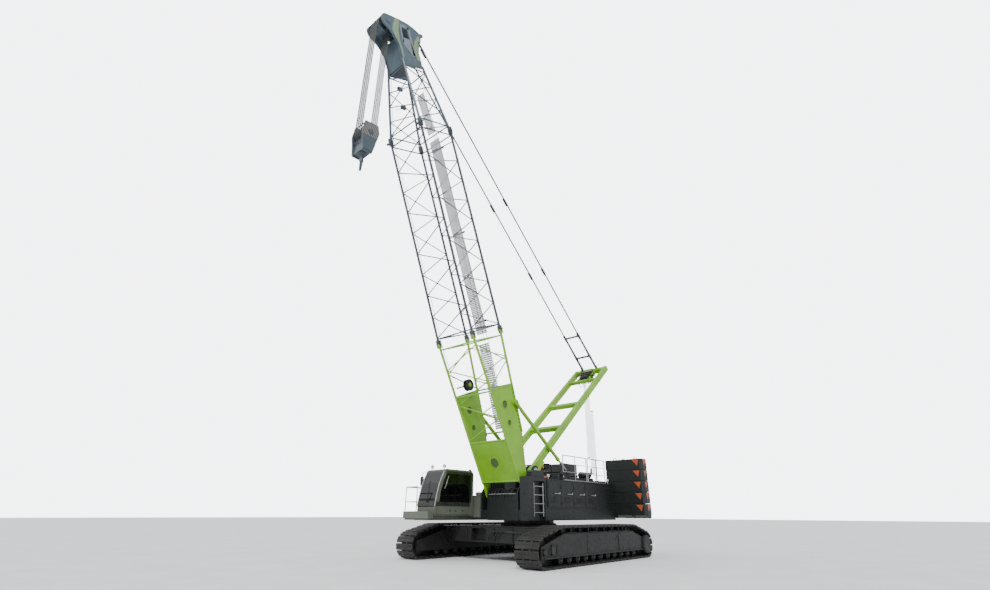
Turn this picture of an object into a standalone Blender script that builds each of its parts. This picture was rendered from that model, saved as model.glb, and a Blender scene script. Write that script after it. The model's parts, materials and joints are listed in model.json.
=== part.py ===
"""Lattice-boom crawler crane: one object for each sub-part, in metres, +X forward, +Y left, +Z up."""
import math

import bmesh
import bpy
from mathutils import Matrix, Vector

# --- fits ---
GAP = 0.0003

# --- places of the main axes, from the slew axis at ground level ---
SLEW_AXIS_X = -2.03
BOOM_FOOT = (1.43, 2.34)
BOOM_ANGLE = 67.7
MAST_FOOT = (0.95, 3.20)
MAST_HEAD = (-6.00, 8.87)
TACKLE = (-5.45, 2.35)
BACKSTOP_SEAT = (-1.35, 3.30)

# --- tracks ---
TRACK_GAUGE = 5.88
SHOE_WIDTH = 0.94
SHOE_THICKNESS = 0.09
SHOE_COUNT = 60
SHOE_GROOVE = 0.03
END_WHEEL_X = 3.60
END_WHEEL_RADIUS = 0.50
CREST_FRONT_X = 2.55
CREST_REAR_X = -2.60
CREST_RADIUS = 0.30
TRACK_HEIGHT = 1.26
WHEEL_WIDTH = 0.52
AXLE_RADIUS = 0.10
ROLLER_RADIUS = 0.13
ROLLER_COUNT = 11
ROLLER_PITCH = 0.52
FRAME_WALL = 0.06
FRAME_BOTTOM = 0.30
FRAME_DROP = 0.14
FINAL_DRIVE_RADIUS = 0.34

# --- car body ---
BEAM_FRONT_X = 2.20
BEAM_DEPTH = 0.85
BEAM_BOTTOM = 0.62
BEAM_TOP = 1.16
RING_RADIUS = 1.05
RING_TOP = 1.29

# --- main frame ---
FRAME_HALF_WIDTH = 0.80
DECK_BOTTOM = 1.38
DECK_TOP = 2.05
UPPER_FRONT_X = 1.70
UPPER_REAR_X = -4.62
TAIL_BEAM_X = -5.80
WEB_INNER = (0.74, 0.79)
WEB_OUTER = (1.06, 1.12)
WEB_REAR_X = 0.36
FOOT_PIN_RADIUS = 0.055
PIN_PLAY = 0.006
COLLAR_RADIUS = 0.10

# --- side houses ---
HOUSE_HALF_WIDTH = 1.50
HOUSE_TOP = 2.90
HOUSE_FRONT_LEFT = 0.80
HOUSE_FRONT_RIGHT = -0.15
HOUSE_WALL = 0.04
DOOR_SILL = 1.87
DOOR_HEAD = 2.82
DOOR_PITCH = 0.93
DOOR_GAP = 0.02
DOOR_THICKNESS = 0.035
DOOR_LAP = 0.04
DOORS_LEFT_FRONT = 0.77
DOOR_COUNT_LEFT = 4
DOORS_RIGHT_FRONT = -0.62
DOOR_COUNT_RIGHT = 2
HANDLE_HEIGHT = 2.36
BOX_FRONT_X = 2.00
LADDER_BAY = (0.90, 1.62)
RUNG_PITCH = 0.31
RUNG_COUNT = 4
RAIL_HEIGHT = 1.02

# --- winches ---
DRUM_HEIGHT = 2.67
FRONT_DRUM_X = -0.75
REAR_DRUM_X = -2.05
LUFF_DRUM_X = -3.35
DRUM_WIDTH = 1.0
HOIST_DRUM_RADIUS = 0.33
LUFF_DRUM_RADIUS = 0.26
DRUM_FLANGE = 0.15

# --- counterweight ---
WEIGHT_FRONT_X = -4.65
WEIGHT_HALF_WIDTH = 3.05
WEIGHT_INNER = 1.18
WEIGHT_CORNER = 0.12
TAIL_SWING = 5.97
TRAY_BOTTOM = 1.45
TRAY_TOP = 1.58
SLAB_HEIGHT = 0.484
SLAB_COUNT = 5
SLAB_GROOVE = 0.015

# --- cab ---
CAB_LEFT_Y = -1.42
CAB_WIDTH = 0.98
CAB_FRONT_X = 3.98
CAB_REAR_X = 1.86
CAB_BOTTOM = 1.53
CAB_SILL = 1.90
CAB_ROOF = 3.23
CAB_NOSE_LEAN = 0.42
CAB_WALL = 0.05
CAB_DOOR_THICKNESS = 0.032
GLASS = 0.008
GLASS_LAP = 0.03
WALKWAY_WIDTH = 0.38
WALKWAY_TOP = 1.69

# --- boom, measured along it and square to it ---
BASE_LENGTH = 6.45
INSERT_LENGTH = 9.00
TOP_LENGTH = 3.25
BOOM_HALF_WIDTH = 0.96
BOOM_FRONT = 0.80
BOOM_REAR = 0.99
FOOT_FRONT = 0.10
FOOT_REAR_TAPER = 0.065
TOP_HALF_WIDTH = 0.50
TOP_FRONT = 0.40
TOP_REAR = 0.76
PLATE_TOP = 4.15
PLATE_THICKNESS = 0.06
CHORD_RADIUS = 0.055
LACE_RADIUS = 0.026
LACE_START = 0.25
LACE_PITCH = 0.9155
CONNECTOR = 0.17
WALKWAY_STRIP = 0.56

# --- boom head, hook and ropes ---
HEAD_AXIS = (20.36, -0.77)
HEAD_CHEEK = 0.07
SHEAVE_RADIUS = 0.30
SHEAVE_PACK = 0.52
ROPE_LAYER = 0.024
HOOK_DROP = 6.00
HOOK_HALF_WIDTH = 0.35
HOOK_TURN = 60.0
PENDANT_LUG = (19.90, 1.09)

# --- mast, pendants and backstops ---
MAST_HALF_WIDTH = 0.90
MAST_LEG = (0.18, 0.26)
MAST_PIN_RADIUS = 0.05
MAST_SHEAVE_BACK = 0.59
MAST_SHEAVE_RADIUS = 0.28
PENDANT_Y = 0.42
PENDANT_PLATE = 0.03
PENDANT_BAR = 0.06
BACKSTOP_Y = 1.10
BACKSTOP_TOP = (3.43, 0.62)
BACKSTOP_RADIUS = 0.07
BACKSTOP_ROD_RADIUS = 0.045
BACKSTOP_TUBE = 3.54
FALLS_LENGTH = 3.97
FALLS_STEP = (0.785, 1.57)


def material(name, colour, roughness=0.5, metallic=0.0):
    """A plain Principled material."""
    made = bpy.data.materials.new(name)
    made.use_nodes = True
    shader = made.node_tree.nodes["Principled BSDF"]
    shader.inputs["Base Color"].default_value = (*colour, 1.0)
    shader.inputs["Roughness"].default_value = roughness
    shader.inputs["Metallic"].default_value = metallic
    made.diffuse_color = (*colour, 1.0)
    return made


def solid(bm):
    """A linked object from a bmesh, its faces turned outward."""
    bmesh.ops.recalc_face_normals(bm, faces=bm.faces)
    mesh = bpy.data.meshes.new("solid")
    bm.to_mesh(mesh)
    bm.free()
    made = bpy.data.objects.new("solid", mesh)
    bpy.context.scene.collection.objects.link(made)
    return made


def box(low, high):
    """A block between two corners."""
    bm = bmesh.new()
    bmesh.ops.create_cube(bm, size=1.0)
    for vert in bm.verts:
        vert.co = Vector([lo + (c + 0.5) * (hi - lo) for lo, hi, c in zip(low, high, vert.co)])
    return solid(bm)


def prism(outline, low, high, axis="y"):
    """An outline extruded along an axis: (x, z) points along y, (y, z) along x, (x, y) along z."""
    def place(point, level):
        u, v = point
        return {"x": (level, u, v), "y": (u, level, v), "z": (u, v, level)}[axis]
    bm = bmesh.new()
    near = [bm.verts.new(place(point, low)) for point in outline]
    far = [bm.verts.new(place(point, high)) for point in outline]
    count = len(outline)
    for i in range(count):
        j = (i + 1) % count
        bm.faces.new((near[i], near[j], far[j], far[i]))
    bm.faces.new(near)
    bm.faces.new(far)
    return solid(bm)


def loft(rings):
    """A closed solid through rings of as many points each."""
    bm = bmesh.new()
    made = [[bm.verts.new(point) for point in ring] for ring in rings]
    count = len(rings[0])
    for lower, upper in zip(made, made[1:]):
        for i in range(count):
            j = (i + 1) % count
            bm.faces.new((lower[i], lower[j], upper[j], upper[i]))
    bm.faces.new(made[0])
    bm.faces.new(made[-1])
    return solid(bm)


def tube(start, end, radius, sides=8, turn=0.0):
    """A round bar between two points."""
    start, end = Vector(start), Vector(end)
    frame = (end - start).to_track_quat("Z", "Y").to_matrix()
    rings = []
    for centre in (start, end):
        ring = []
        for i in range(sides):
            angle = math.tau * (i + turn) / sides
            ring.append(centre + frame @ Vector((radius * math.cos(angle), radius * math.sin(angle), 0)))
        rings.append(ring)
    return loft(rings)


def turned(profile, centre, axis="y", segments=32):
    """A solid of revolution: (radius, offset along the axis) pairs, closed at both ends."""
    rings = []
    for radius, offset in profile:
        ring = []
        for i in range(segments):
            angle = math.tau * i / segments
            u, v = radius * math.cos(angle), radius * math.sin(angle)
            place = {"x": (offset, u, v), "y": (u, offset, v), "z": (u, v, offset)}[axis]
            ring.append(Vector(centre) + Vector(place))
        rings.append(ring)
    return loft(rings)


def combine(base, others, operation="UNION"):
    """Boolean of a solid with others, which are used up."""
    for other in others:
        step = base.modifiers.new(operation.title(), "BOOLEAN")
        step.operation = operation
        step.solver = "EXACT"
        step.object = other
    graph = bpy.context.evaluated_depsgraph_get()
    mesh = bpy.data.meshes.new_from_object(base.evaluated_get(graph))
    base.modifiers.clear()
    base.data = mesh
    for other in others:
        bpy.data.objects.remove(other, do_unlink=True)
    return base


def fuse(solids):
    """One solid from overlapping ones."""
    return combine(solids[0], solids[1:])


def carve(base, cutters):
    """A solid less its cutters."""
    return combine(base, cutters, "DIFFERENCE")


def joint(name, location, parent=None, lean=0.0):
    """An empty on a joint's axis, leaned about Y by an angle from +X up to +Z."""
    empty = bpy.data.objects.new(name, None)
    bpy.context.scene.collection.objects.link(empty)
    empty.empty_display_size = 0.4
    empty.parent = parent
    empty.location = location
    empty.rotation_euler = (0, -math.radians(lean), 0)
    return empty


def piece(name, made, finish, parent, pivot=(0, 0, 0), smooth=False):
    """Names a solid, gives it its material and hangs it on its joint, its origin at the pivot."""
    made.name = name
    made.data.name = name
    made.data.transform(Matrix.Translation(-Vector(pivot)))
    made.data.materials.clear()
    made.data.materials.append(finish)
    if smooth:
        made.data.shade_smooth()
        made.data.set_sharp_from_angle(angle=math.radians(35))
    made.location = pivot
    made.parent = parent
    return made


def mirrored(points):
    """The same (x, y, ...) points on the other side."""
    return [(x, -y, *rest) for x, y, *rest in reversed(points)]


def arc(centre, radius, start, end, steps):
    """Points on a circle in a plane, angles in degrees."""
    points = []
    for i in range(steps + 1):
        angle = math.radians(start + (end - start) * i / steps)
        points.append((centre[0] + radius * math.cos(angle), centre[1] + radius * math.sin(angle)))
    return points


# ---------------------------------------------------------------- tracks
def tangent_angle(near, near_radius, far, far_radius):
    """Direction of the outer belt tangent's normal between two circles, in degrees."""
    reach = math.dist(near, far)
    slope = math.atan2(far[1] - near[1], far[0] - near[0])
    return math.degrees(slope - math.acos((near_radius - far_radius) / reach)) % 360


def belt(inset):
    """The track's outline in XZ, anticlockwise from the bottom front, round its four corners."""
    wheel = END_WHEEL_RADIUS - inset
    crest = CREST_RADIUS - inset
    front = (END_WHEEL_X, END_WHEEL_RADIUS)
    rear = (-END_WHEEL_X, END_WHEEL_RADIUS)
    crest_front = (CREST_FRONT_X, TRACK_HEIGHT - CREST_RADIUS)
    crest_rear = (CREST_REAR_X, TRACK_HEIGHT - CREST_RADIUS)
    first = tangent_angle(front, wheel, crest_front, crest)
    second = tangent_angle(crest_rear, crest, rear, wheel)
    outline = arc(front, wheel, -90, first, 12)
    outline += arc(crest_front, crest, first, 90, 3)
    outline += arc(crest_rear, crest, 90, second, 3)
    outline += arc(rear, wheel, second, 270, 12)
    return outline


def along(outline, reach):
    """The point and outward normal at a distance round a closed outline."""
    spans = list(zip(outline, outline[1:] + outline[:1]))
    reach %= sum(math.dist(a, b) for a, b in spans)
    for a, b in spans:
        length = math.dist(a, b)
        if reach <= length:
            break
        reach -= length
    tangent = ((b[0] - a[0]) / length, (b[1] - a[1]) / length)
    return (a[0] + tangent[0] * reach, a[1] + tangent[1] * reach), (tangent[1], -tangent[0])


def track_loop(centre_y):
    """One closed track with its shoes stepped in the outline."""
    outline = belt(0.0)
    pitch = sum(math.dist(a, b) for a, b in zip(outline, outline[1:] + outline[:1])) / SHOE_COUNT
    outer = []
    for i in range(SHOE_COUNT):
        for share, drop in ((0.06, 0.0), (0.80, 0.0), (0.86, SHOE_GROOVE), (1.0, SHOE_GROOVE)):
            point, normal = along(outline, (i + share) * pitch)
            outer.append((point[0] - normal[0] * drop, point[1] - normal[1] * drop))
    low, high = centre_y - SHOE_WIDTH / 2, centre_y + SHOE_WIDTH / 2
    return carve(prism(outer, low, high), [prism(belt(SHOE_THICKNESS), low - 0.1, high + 0.1)])


def end_wheel(x, centre_y, rim_half):
    """An idler or sprocket with its axle stubs."""
    rim = (END_WHEEL_RADIUS - SHOE_THICKNESS) * math.cos(math.radians(7.2)) - GAP
    reach = WHEEL_WIDTH / 2 + 0.05
    profile = [(AXLE_RADIUS, -reach), (AXLE_RADIUS, -rim_half - 0.03), (rim - 0.08, -rim_half - 0.03),
               (rim, -rim_half), (rim, rim_half), (rim - 0.08, rim_half + 0.03),
               (AXLE_RADIUS, rim_half + 0.03), (AXLE_RADIUS, reach)]
    return turned(profile, (x, centre_y, END_WHEEL_RADIUS), segments=24)


def track_frame(centre_y, side):
    """The beam between the track's runs with its wheel cheeks, rollers and final drive."""
    top = TRACK_HEIGHT - SHOE_THICKNESS - FRAME_DROP
    beam_end = END_WHEEL_X - END_WHEEL_RADIUS + 0.02
    beam = [(-beam_end, FRAME_BOTTOM + 0.02), (beam_end, FRAME_BOTTOM + 0.02), (beam_end, 0.72),
            (CREST_FRONT_X - 0.25, top), (CREST_REAR_X + 0.25, top), (-beam_end, 0.72)]
    inner = WHEEL_WIDTH / 2 + 0.05 + GAP
    outer = inner + FRAME_WALL
    solids = [prism(beam, centre_y - inner - 0.01, centre_y + inner + 0.01)]
    end = END_WHEEL_X + 0.14
    cheek = [(-end, FRAME_BOTTOM), (end, FRAME_BOTTOM), (end, 0.66), (CREST_FRONT_X - 0.1, top - 0.03),
             (CREST_REAR_X + 0.1, top - 0.03), (-end, 0.66)]
    for hand in (-1, 1):
        low, high = sorted((centre_y + hand * inner, centre_y + hand * outer))
        solids.append(prism(cheek, low, high))
        depth = 0.12 if hand == side else 0.04
        start = centre_y + hand * (outer - 0.01)
        drum = [(FINAL_DRIVE_RADIUS, start), (FINAL_DRIVE_RADIUS, start + hand * depth * 0.7),
                (FINAL_DRIVE_RADIUS * 0.8, start + hand * depth)]
        solids.append(turned(drum, (-END_WHEEL_X, 0, END_WHEEL_RADIUS), segments=24))
    for i in range(ROLLER_COUNT):
        x = (i - (ROLLER_COUNT - 1) / 2) * ROLLER_PITCH
        roller = [(ROLLER_RADIUS, centre_y - 0.24), (ROLLER_RADIUS, centre_y + 0.24)]
        solids.append(turned(roller, (x, 0, SHOE_THICKNESS + ROLLER_RADIUS + GAP), segments=12))
        solids.append(box((x - 0.05, centre_y - 0.2, 0.15), (x + 0.05, centre_y + 0.2, FRAME_BOTTOM + 0.1)))
    carrier_top = TRACK_HEIGHT - SHOE_THICKNESS - GAP
    for x in (CREST_FRONT_X - 0.4, 0.0, CREST_REAR_X + 0.4):
        solids.append(box((x - 0.12, centre_y - 0.15, top - 0.25), (x + 0.12, centre_y + 0.15, carrier_top)))
    return fuse(solids)


def build_tracks(finish, steel, parent):
    """Both crawlers."""
    for side, hand in ((1, "left"), (-1, "right")):
        y = side * TRACK_GAUGE / 2
        piece(f"track_{hand}", track_loop(y), steel, parent)
        piece(f"track_frame_{hand}", track_frame(y, side), finish, parent)
        piece(f"idler_{hand}", end_wheel(END_WHEEL_X, y, 0.20), steel, parent, smooth=True)
        piece(f"sprocket_{hand}", end_wheel(-END_WHEEL_X, y, 0.12), steel, parent, smooth=True)


def build_car_body(finish, parent):
    """The centre of the undercarriage: hub, two cross beams and the fixed half of the slew ring."""
    reach = TRACK_GAUGE / 2 - WHEEL_WIDTH / 2 - 0.05 - FRAME_WALL - 2 * GAP
    inner_x = BEAM_FRONT_X - BEAM_DEPTH
    solids = [box((-inner_x - 0.1, -1.35, BEAM_BOTTOM + 0.03), (inner_x + 0.1, 1.35, BEAM_TOP + 0.03)),
              box((inner_x, -reach, BEAM_BOTTOM), (BEAM_FRONT_X, reach, BEAM_TOP)),
              box((-BEAM_FRONT_X, -reach, BEAM_BOTTOM), (-inner_x, reach, BEAM_TOP)),
              turned([(RING_RADIUS + 0.10, BEAM_TOP - 0.05), (RING_RADIUS + 0.10, BEAM_TOP + 0.07),
                      (RING_RADIUS, BEAM_TOP + 0.07), (RING_RADIUS, RING_TOP)], (0, 0, 0), "z", 36)]
    recess = box((BEAM_FRONT_X - 0.25, -1.16, 0.67), (BEAM_FRONT_X + 0.1, -0.40, BEAM_TOP - 0.05))
    piece("car_body", carve(fuse(solids), [recess]), finish, parent)


# ---------------------------------------------------------------- upper works
def foot_pins(side):
    """Boom and mast foot pins with the collars that centre the boom plates and mast legs."""
    plate = (BOOM_HALF_WIDTH - PLATE_THICKNESS / 2, BOOM_HALF_WIDTH + PLATE_THICKNESS / 2)
    leg = (MAST_HALF_WIDTH - MAST_LEG[0] / 2, MAST_HALF_WIDTH + MAST_LEG[0] / 2)
    made = []
    for (x, z), radius, held in ((BOOM_FOOT, FOOT_PIN_RADIUS, plate), (MAST_FOOT, MAST_PIN_RADIUS, leg)):
        profile = [(COLLAR_RADIUS, WEB_INNER[1] - 0.01), (COLLAR_RADIUS, held[0] - GAP), (radius, held[0] - GAP),
                   (radius, held[1] + GAP), (COLLAR_RADIUS, held[1] + GAP), (COLLAR_RADIUS, WEB_OUTER[0] + 0.01)]
        made.append(turned([(r, side * y) for r, y in profile], (x, 0, z), segments=16))
    return made


def winch_stand(x):
    """Two bearing cheeks on a base plate."""
    half = DRUM_WIDTH / 2 + 0.05 + GAP
    outline = [(x - 0.3, DECK_TOP - 0.02), (x + 0.3, DECK_TOP - 0.02), (x + 0.12, DRUM_HEIGHT + 0.12),
               (x - 0.12, DRUM_HEIGHT + 0.12)]
    return [prism(outline, -half - 0.05, -half), prism(outline, half, half + 0.05)]


def build_main_frame(finish, parent):
    """Slew platform, boom and mast webs with their pins, winch stands and tail beam with its tackle."""
    front_web = [(WEB_REAR_X, DECK_BOTTOM + 0.01), (UPPER_FRONT_X, DECK_BOTTOM + 0.01), (UPPER_FRONT_X, BOOM_FOOT[1])]
    front_web += arc(BOOM_FOOT, UPPER_FRONT_X - BOOM_FOOT[0], 0, 80, 4)[1:]
    front_web += arc(MAST_FOOT, 0.20, 15, 180, 6)
    front_web += [(MAST_FOOT[0] - 0.35, DECK_TOP + 0.3), (WEB_REAR_X, DECK_TOP + 0.05)]
    solids = [box((UPPER_REAR_X, -FRAME_HALF_WIDTH, DECK_BOTTOM), (UPPER_FRONT_X - 0.01, FRAME_HALF_WIDTH, DECK_TOP)),
              turned([(RING_RADIUS - 0.02, RING_TOP + GAP), (RING_RADIUS - 0.02, DECK_BOTTOM - GAP),
                      (FRAME_HALF_WIDTH - 0.02, DECK_BOTTOM - GAP), (FRAME_HALF_WIDTH - 0.02, DECK_BOTTOM + 0.1)],
                     (0, 0, 0), "z", 36)]
    for side in (-1, 1):
        for near, far in (WEB_INNER, WEB_OUTER):
            solids.append(prism(front_web, *sorted((side * near, side * far))))
        low, high = sorted((side * (FRAME_HALF_WIDTH - 0.05), side * (WEB_OUTER[1] - 0.01)))
        solids.append(box((WEB_REAR_X + 0.01, low, DECK_BOTTOM + 0.02), (UPPER_FRONT_X - 0.02, high, DECK_BOTTOM + 0.38)))
        solids += foot_pins(side)
        low, high = sorted((side * 0.30, side * 0.34))
        solids.append(prism([(TACKLE[0] - 0.25, DECK_TOP - 0.1), (TACKLE[0] + 0.25, DECK_TOP - 0.1),
                             (TACKLE[0] + 0.12, TACKLE[1] + 0.1), (TACKLE[0] - 0.12, TACKLE[1] + 0.1)], low, high))
    solids.append(box((UPPER_FRONT_X - 0.08, -WEB_INNER[1] + 0.01, DECK_TOP - 0.05),
                      (UPPER_FRONT_X - 0.03, WEB_INNER[1] - 0.01, BOOM_FOOT[1] - 0.02)))
    solids.append(box((TAIL_BEAM_X, -0.45, TRAY_TOP + GAP), (UPPER_REAR_X + 0.1, 0.45, DECK_TOP - 0.01)))
    solids.append(turned([(0.19, -0.32), (0.19, 0.32)], (TACKLE[0], 0, TACKLE[1]), segments=20))
    for x in (FRONT_DRUM_X, REAR_DRUM_X, LUFF_DRUM_X):
        solids += winch_stand(x)
    piece("main_frame", fuse(solids), finish, parent)


def house_plan(side, front_x, inset=0.0):
    """A side house's plan; the left one is notched round the outer web."""
    inner = FRAME_HALF_WIDTH + GAP + inset
    outer = HOUSE_HALF_WIDTH - inset
    rear = UPPER_REAR_X + inset
    plan = [(rear, inner), (rear, outer), (front_x - inset, outer)]
    if front_x > WEB_REAR_X:
        step = WEB_OUTER[1] + GAP + inset
        plan += [(front_x - inset, step), (WEB_REAR_X - 0.06 - inset, step), (WEB_REAR_X - 0.06 - inset, inner)]
    else:
        plan += [(front_x - inset, inner)]
    return plan if side > 0 else mirrored(plan)


def backstop_seat(side):
    """The open clevis on the house roof that the backstop's rod eye lies in."""
    x, z = BACKSTOP_SEAT
    y = side * BACKSTOP_Y
    made = [box((x - 0.16, y - 0.13, HOUSE_TOP - 0.02), (x + 0.16, y + 0.13, HOUSE_TOP + 0.08))]
    for low in (y - 0.10, y + 0.06):
        made.append(prism([(x - 0.13, HOUSE_TOP + 0.05), (x + 0.13, HOUSE_TOP + 0.05), (x + 0.07, z + 0.08),
                           (x - 0.07, z + 0.08)], low, low + 0.04))
    return made


def house(side, front_x, first_door, door_count):
    """One side house: a hollow box, its flank cut for the doors, the backstop's seat on its roof."""
    shell = prism(house_plan(side, front_x), DECK_BOTTOM, HOUSE_TOP, "z")
    room = prism(house_plan(side, front_x, HOUSE_WALL), DECK_BOTTOM + HOUSE_WALL, HOUSE_TOP - HOUSE_WALL, "z")
    shell = carve(shell, [room])
    near, far = sorted((side * (HOUSE_HALF_WIDTH - HOUSE_WALL - 0.02), side * (HOUSE_HALF_WIDTH + 0.05)))
    openings = []
    for i in range(door_count):
        x = first_door - i * DOOR_PITCH
        openings.append(box((x - DOOR_PITCH + DOOR_GAP + DOOR_LAP, near, DOOR_SILL + DOOR_LAP),
                            (x - DOOR_GAP - DOOR_LAP, far, DOOR_HEAD - DOOR_LAP)))
    return fuse([carve(shell, openings)] + backstop_seat(side))


def door_leaf(side):
    """An engine-house door in its hinge's frame, with its handle."""
    low, high = sorted((-side * DOOR_THICKNESS, 0.0))
    leaf = box((-DOOR_PITCH + DOOR_GAP, low, DOOR_SILL), (0, high, DOOR_HEAD))
    low, high = sorted((-side * 0.01, side * 0.03))
    handle = box((-DOOR_PITCH + 0.16, low, HANDLE_HEIGHT - 0.03), (-DOOR_PITCH + 0.30, high, HANDLE_HEIGHT + 0.03))
    return fuse([leaf, handle])


def build_houses(finish, engine_finish, parent):
    """Both side houses, their doors on front hinges, and the engine inside the left one."""
    sets = ((1, "left", HOUSE_FRONT_LEFT, DOORS_LEFT_FRONT, DOOR_COUNT_LEFT),
            (-1, "right", HOUSE_FRONT_RIGHT, DOORS_RIGHT_FRONT, DOOR_COUNT_RIGHT))
    for side, hand, front_x, first, count in sets:
        piece(f"engine_house_{hand}", house(side, front_x, first, count), finish, parent)
        hinge_y = side * (HOUSE_HALF_WIDTH + GAP + DOOR_THICKNESS)
        for i in range(count):
            axis = joint(f"door_{hand}_{i + 1}_hinge", (first - i * DOOR_PITCH - DOOR_GAP / 2, hinge_y, 0), parent)
            piece(f"door_{hand}_{i + 1}", door_leaf(side), finish, axis)
    inner = FRAME_HALF_WIDTH + GAP + HOUSE_WALL
    engine = box((-3.2, inner + 0.03, DECK_BOTTOM + HOUSE_WALL + GAP), (-1.2, HOUSE_HALF_WIDTH - HOUSE_WALL - 0.06, 2.45))
    piece("engine", engine, engine_finish, parent)


def build_front_box(finish, rail_finish, parent):
    """Left front box with the recessed ladder."""
    inner = WEB_OUTER[1] + GAP
    block = box((HOUSE_FRONT_LEFT + GAP, inner, DECK_BOTTOM), (BOX_FRONT_X, HOUSE_HALF_WIDTH, HOUSE_TOP + 0.03))
    bay = box((LADDER_BAY[0], HOUSE_HALF_WIDTH - 0.16, DECK_BOTTOM - 0.1), (LADDER_BAY[1], HOUSE_HALF_WIDTH + 0.1, 2.78))
    piece("front_box_left", carve(block, [bay]), finish, parent)
    y = HOUSE_HALF_WIDTH - 0.05
    low, high = LADDER_BAY[0] + GAP, LADDER_BAY[1] - GAP
    bars = [tube((low, y, 1.66 + i * RUNG_PITCH), (high, y, 1.66 + i * RUNG_PITCH), 0.018, 6)
            for i in range(RUNG_COUNT)]
    for x in (LADDER_BAY[0] + 0.06, LADDER_BAY[1] - 0.06):
        bars.append(tube((x, y, 1.52), (x, y, 2.72), 0.022, 6, 0.5))
    piece("ladder", fuse(bars), rail_finish, parent)


def build_handrail(finish, parent):
    """Handrail hoops on the left house, standing on one foot rail."""
    y = HOUSE_HALF_WIDTH - 0.10
    foot = HOUSE_TOP + GAP
    top = foot + RAIL_HEIGHT
    rails = [box((-4.13, y - 0.03, foot), (-0.59, y + 0.03, foot + 0.04))]
    for front, rear in ((-0.62, -2.48), (-2.60, -4.10)):
        middle = (front + rear) / 2
        for x, radius in ((front, 0.021), (middle, 0.016), (rear, 0.021)):
            rails.append(tube((x, y, foot + 0.02), (x, y, top), radius, 6))
        for share, radius in ((0.34, 0.014), (0.66, 0.014), (0.99, 0.022)):
            z = foot + RAIL_HEIGHT * share
            rails.append(tube((front, y, z), (rear, y, z), radius, 6, 0.5))
    piece("handrail", fuse(rails), finish, parent)


def build_winches(finish, parent):
    """Front and rear hoist drums and the luffing drum on their axes."""
    half = DRUM_WIDTH / 2
    for name, x, radius in (("hoist_drum_front", FRONT_DRUM_X, HOIST_DRUM_RADIUS),
                            ("hoist_drum_rear", REAR_DRUM_X, HOIST_DRUM_RADIUS),
                            ("luffing_drum", LUFF_DRUM_X, LUFF_DRUM_RADIUS)):
        axis = joint(name + "_axis", (x, 0, DRUM_HEIGHT), parent)
        flange = radius + DRUM_FLANGE
        profile = [(0.08, -half - 0.05), (0.08, -half), (flange, -half), (flange, -half + 0.04), (radius, -half + 0.05)]
        profile += [(r, -y) for r, y in reversed(profile)]
        piece(name, turned(profile, (0, 0, 0), segments=20), finish, axis, smooth=True)


def weight_outline(inner, outer, front):
    """Half of the counterweight's plan: front edge, chamfered corner, side and tail-swing arc."""
    start = 180 - math.degrees(math.asin(outer / TAIL_SWING))
    end = 180 - math.degrees(math.asin(inner / TAIL_SWING))
    outline = [(front, inner), (front, outer - WEIGHT_CORNER), (front - WEIGHT_CORNER, outer)]
    return outline + arc((0, 0), TAIL_SWING, start, end, 6)


def build_counterweight(finish, parent):
    """The tray and the two stacks of slabs on it."""
    left = weight_outline(0.0, WEIGHT_HALF_WIDTH - 0.03, WEIGHT_FRONT_X)[1:]
    tray = prism(left + mirrored(left[:-1]), TRAY_BOTTOM, TRAY_TOP, "z")
    piece("counterweight_tray", tray, finish, parent)
    front = WEIGHT_FRONT_X - 0.03
    core = [(front, WEIGHT_INNER + 0.03), (front, WEIGHT_HALF_WIDTH - 0.2), (-5.0, WEIGHT_HALF_WIDTH - 0.2),
            (-5.6, WEIGHT_INNER + 0.03)]
    plan = weight_outline(WEIGHT_INNER, WEIGHT_HALF_WIDTH, WEIGHT_FRONT_X)
    for hand, turn in (("left", list), ("right", mirrored)):
        base = TRAY_TOP + GAP
        solids = [prism(turn(core), base + 0.05, base + SLAB_COUNT * SLAB_HEIGHT - 0.1, "z")]
        for i in range(SLAB_COUNT):
            low = base + i * SLAB_HEIGHT
            solids.append(prism(turn(plan), low, low + SLAB_HEIGHT - SLAB_GROOVE, "z"))
        piece(f"counterweight_{hand}", fuse(solids), finish, parent)


# ---------------------------------------------------------------- cab
def cab_profile(inset):
    """The cab's side outline in XZ, its nose leaning back to the roof."""
    nose = CAB_FRONT_X - inset
    roof = CAB_ROOF - inset
    floor = CAB_BOTTOM + inset
    rear = CAB_REAR_X + inset
    return [(rear, floor), (nose, floor), (nose, CAB_SILL - 0.05), (nose - 0.05, CAB_SILL + 0.25),
            (nose - 0.20, CAB_SILL + 0.80), (nose - CAB_NOSE_LEAN, CAB_ROOF - 0.10), (nose - CAB_NOSE_LEAN - 0.08, roof),
            (rear + 0.10, roof), (rear, CAB_ROOF - 0.10)]


def window(outline, lap):
    """A window's outline grown by a lap about its middle."""
    mid_x = sum(x for x, z in outline) / len(outline)
    mid_z = sum(z for x, z in outline) / len(outline)
    grown = []
    for x, z in outline:
        reach = math.hypot(x - mid_x, z - mid_z)
        grown.append((x + (x - mid_x) * lap / reach, z + (z - mid_z) * lap / reach))
    return grown


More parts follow.
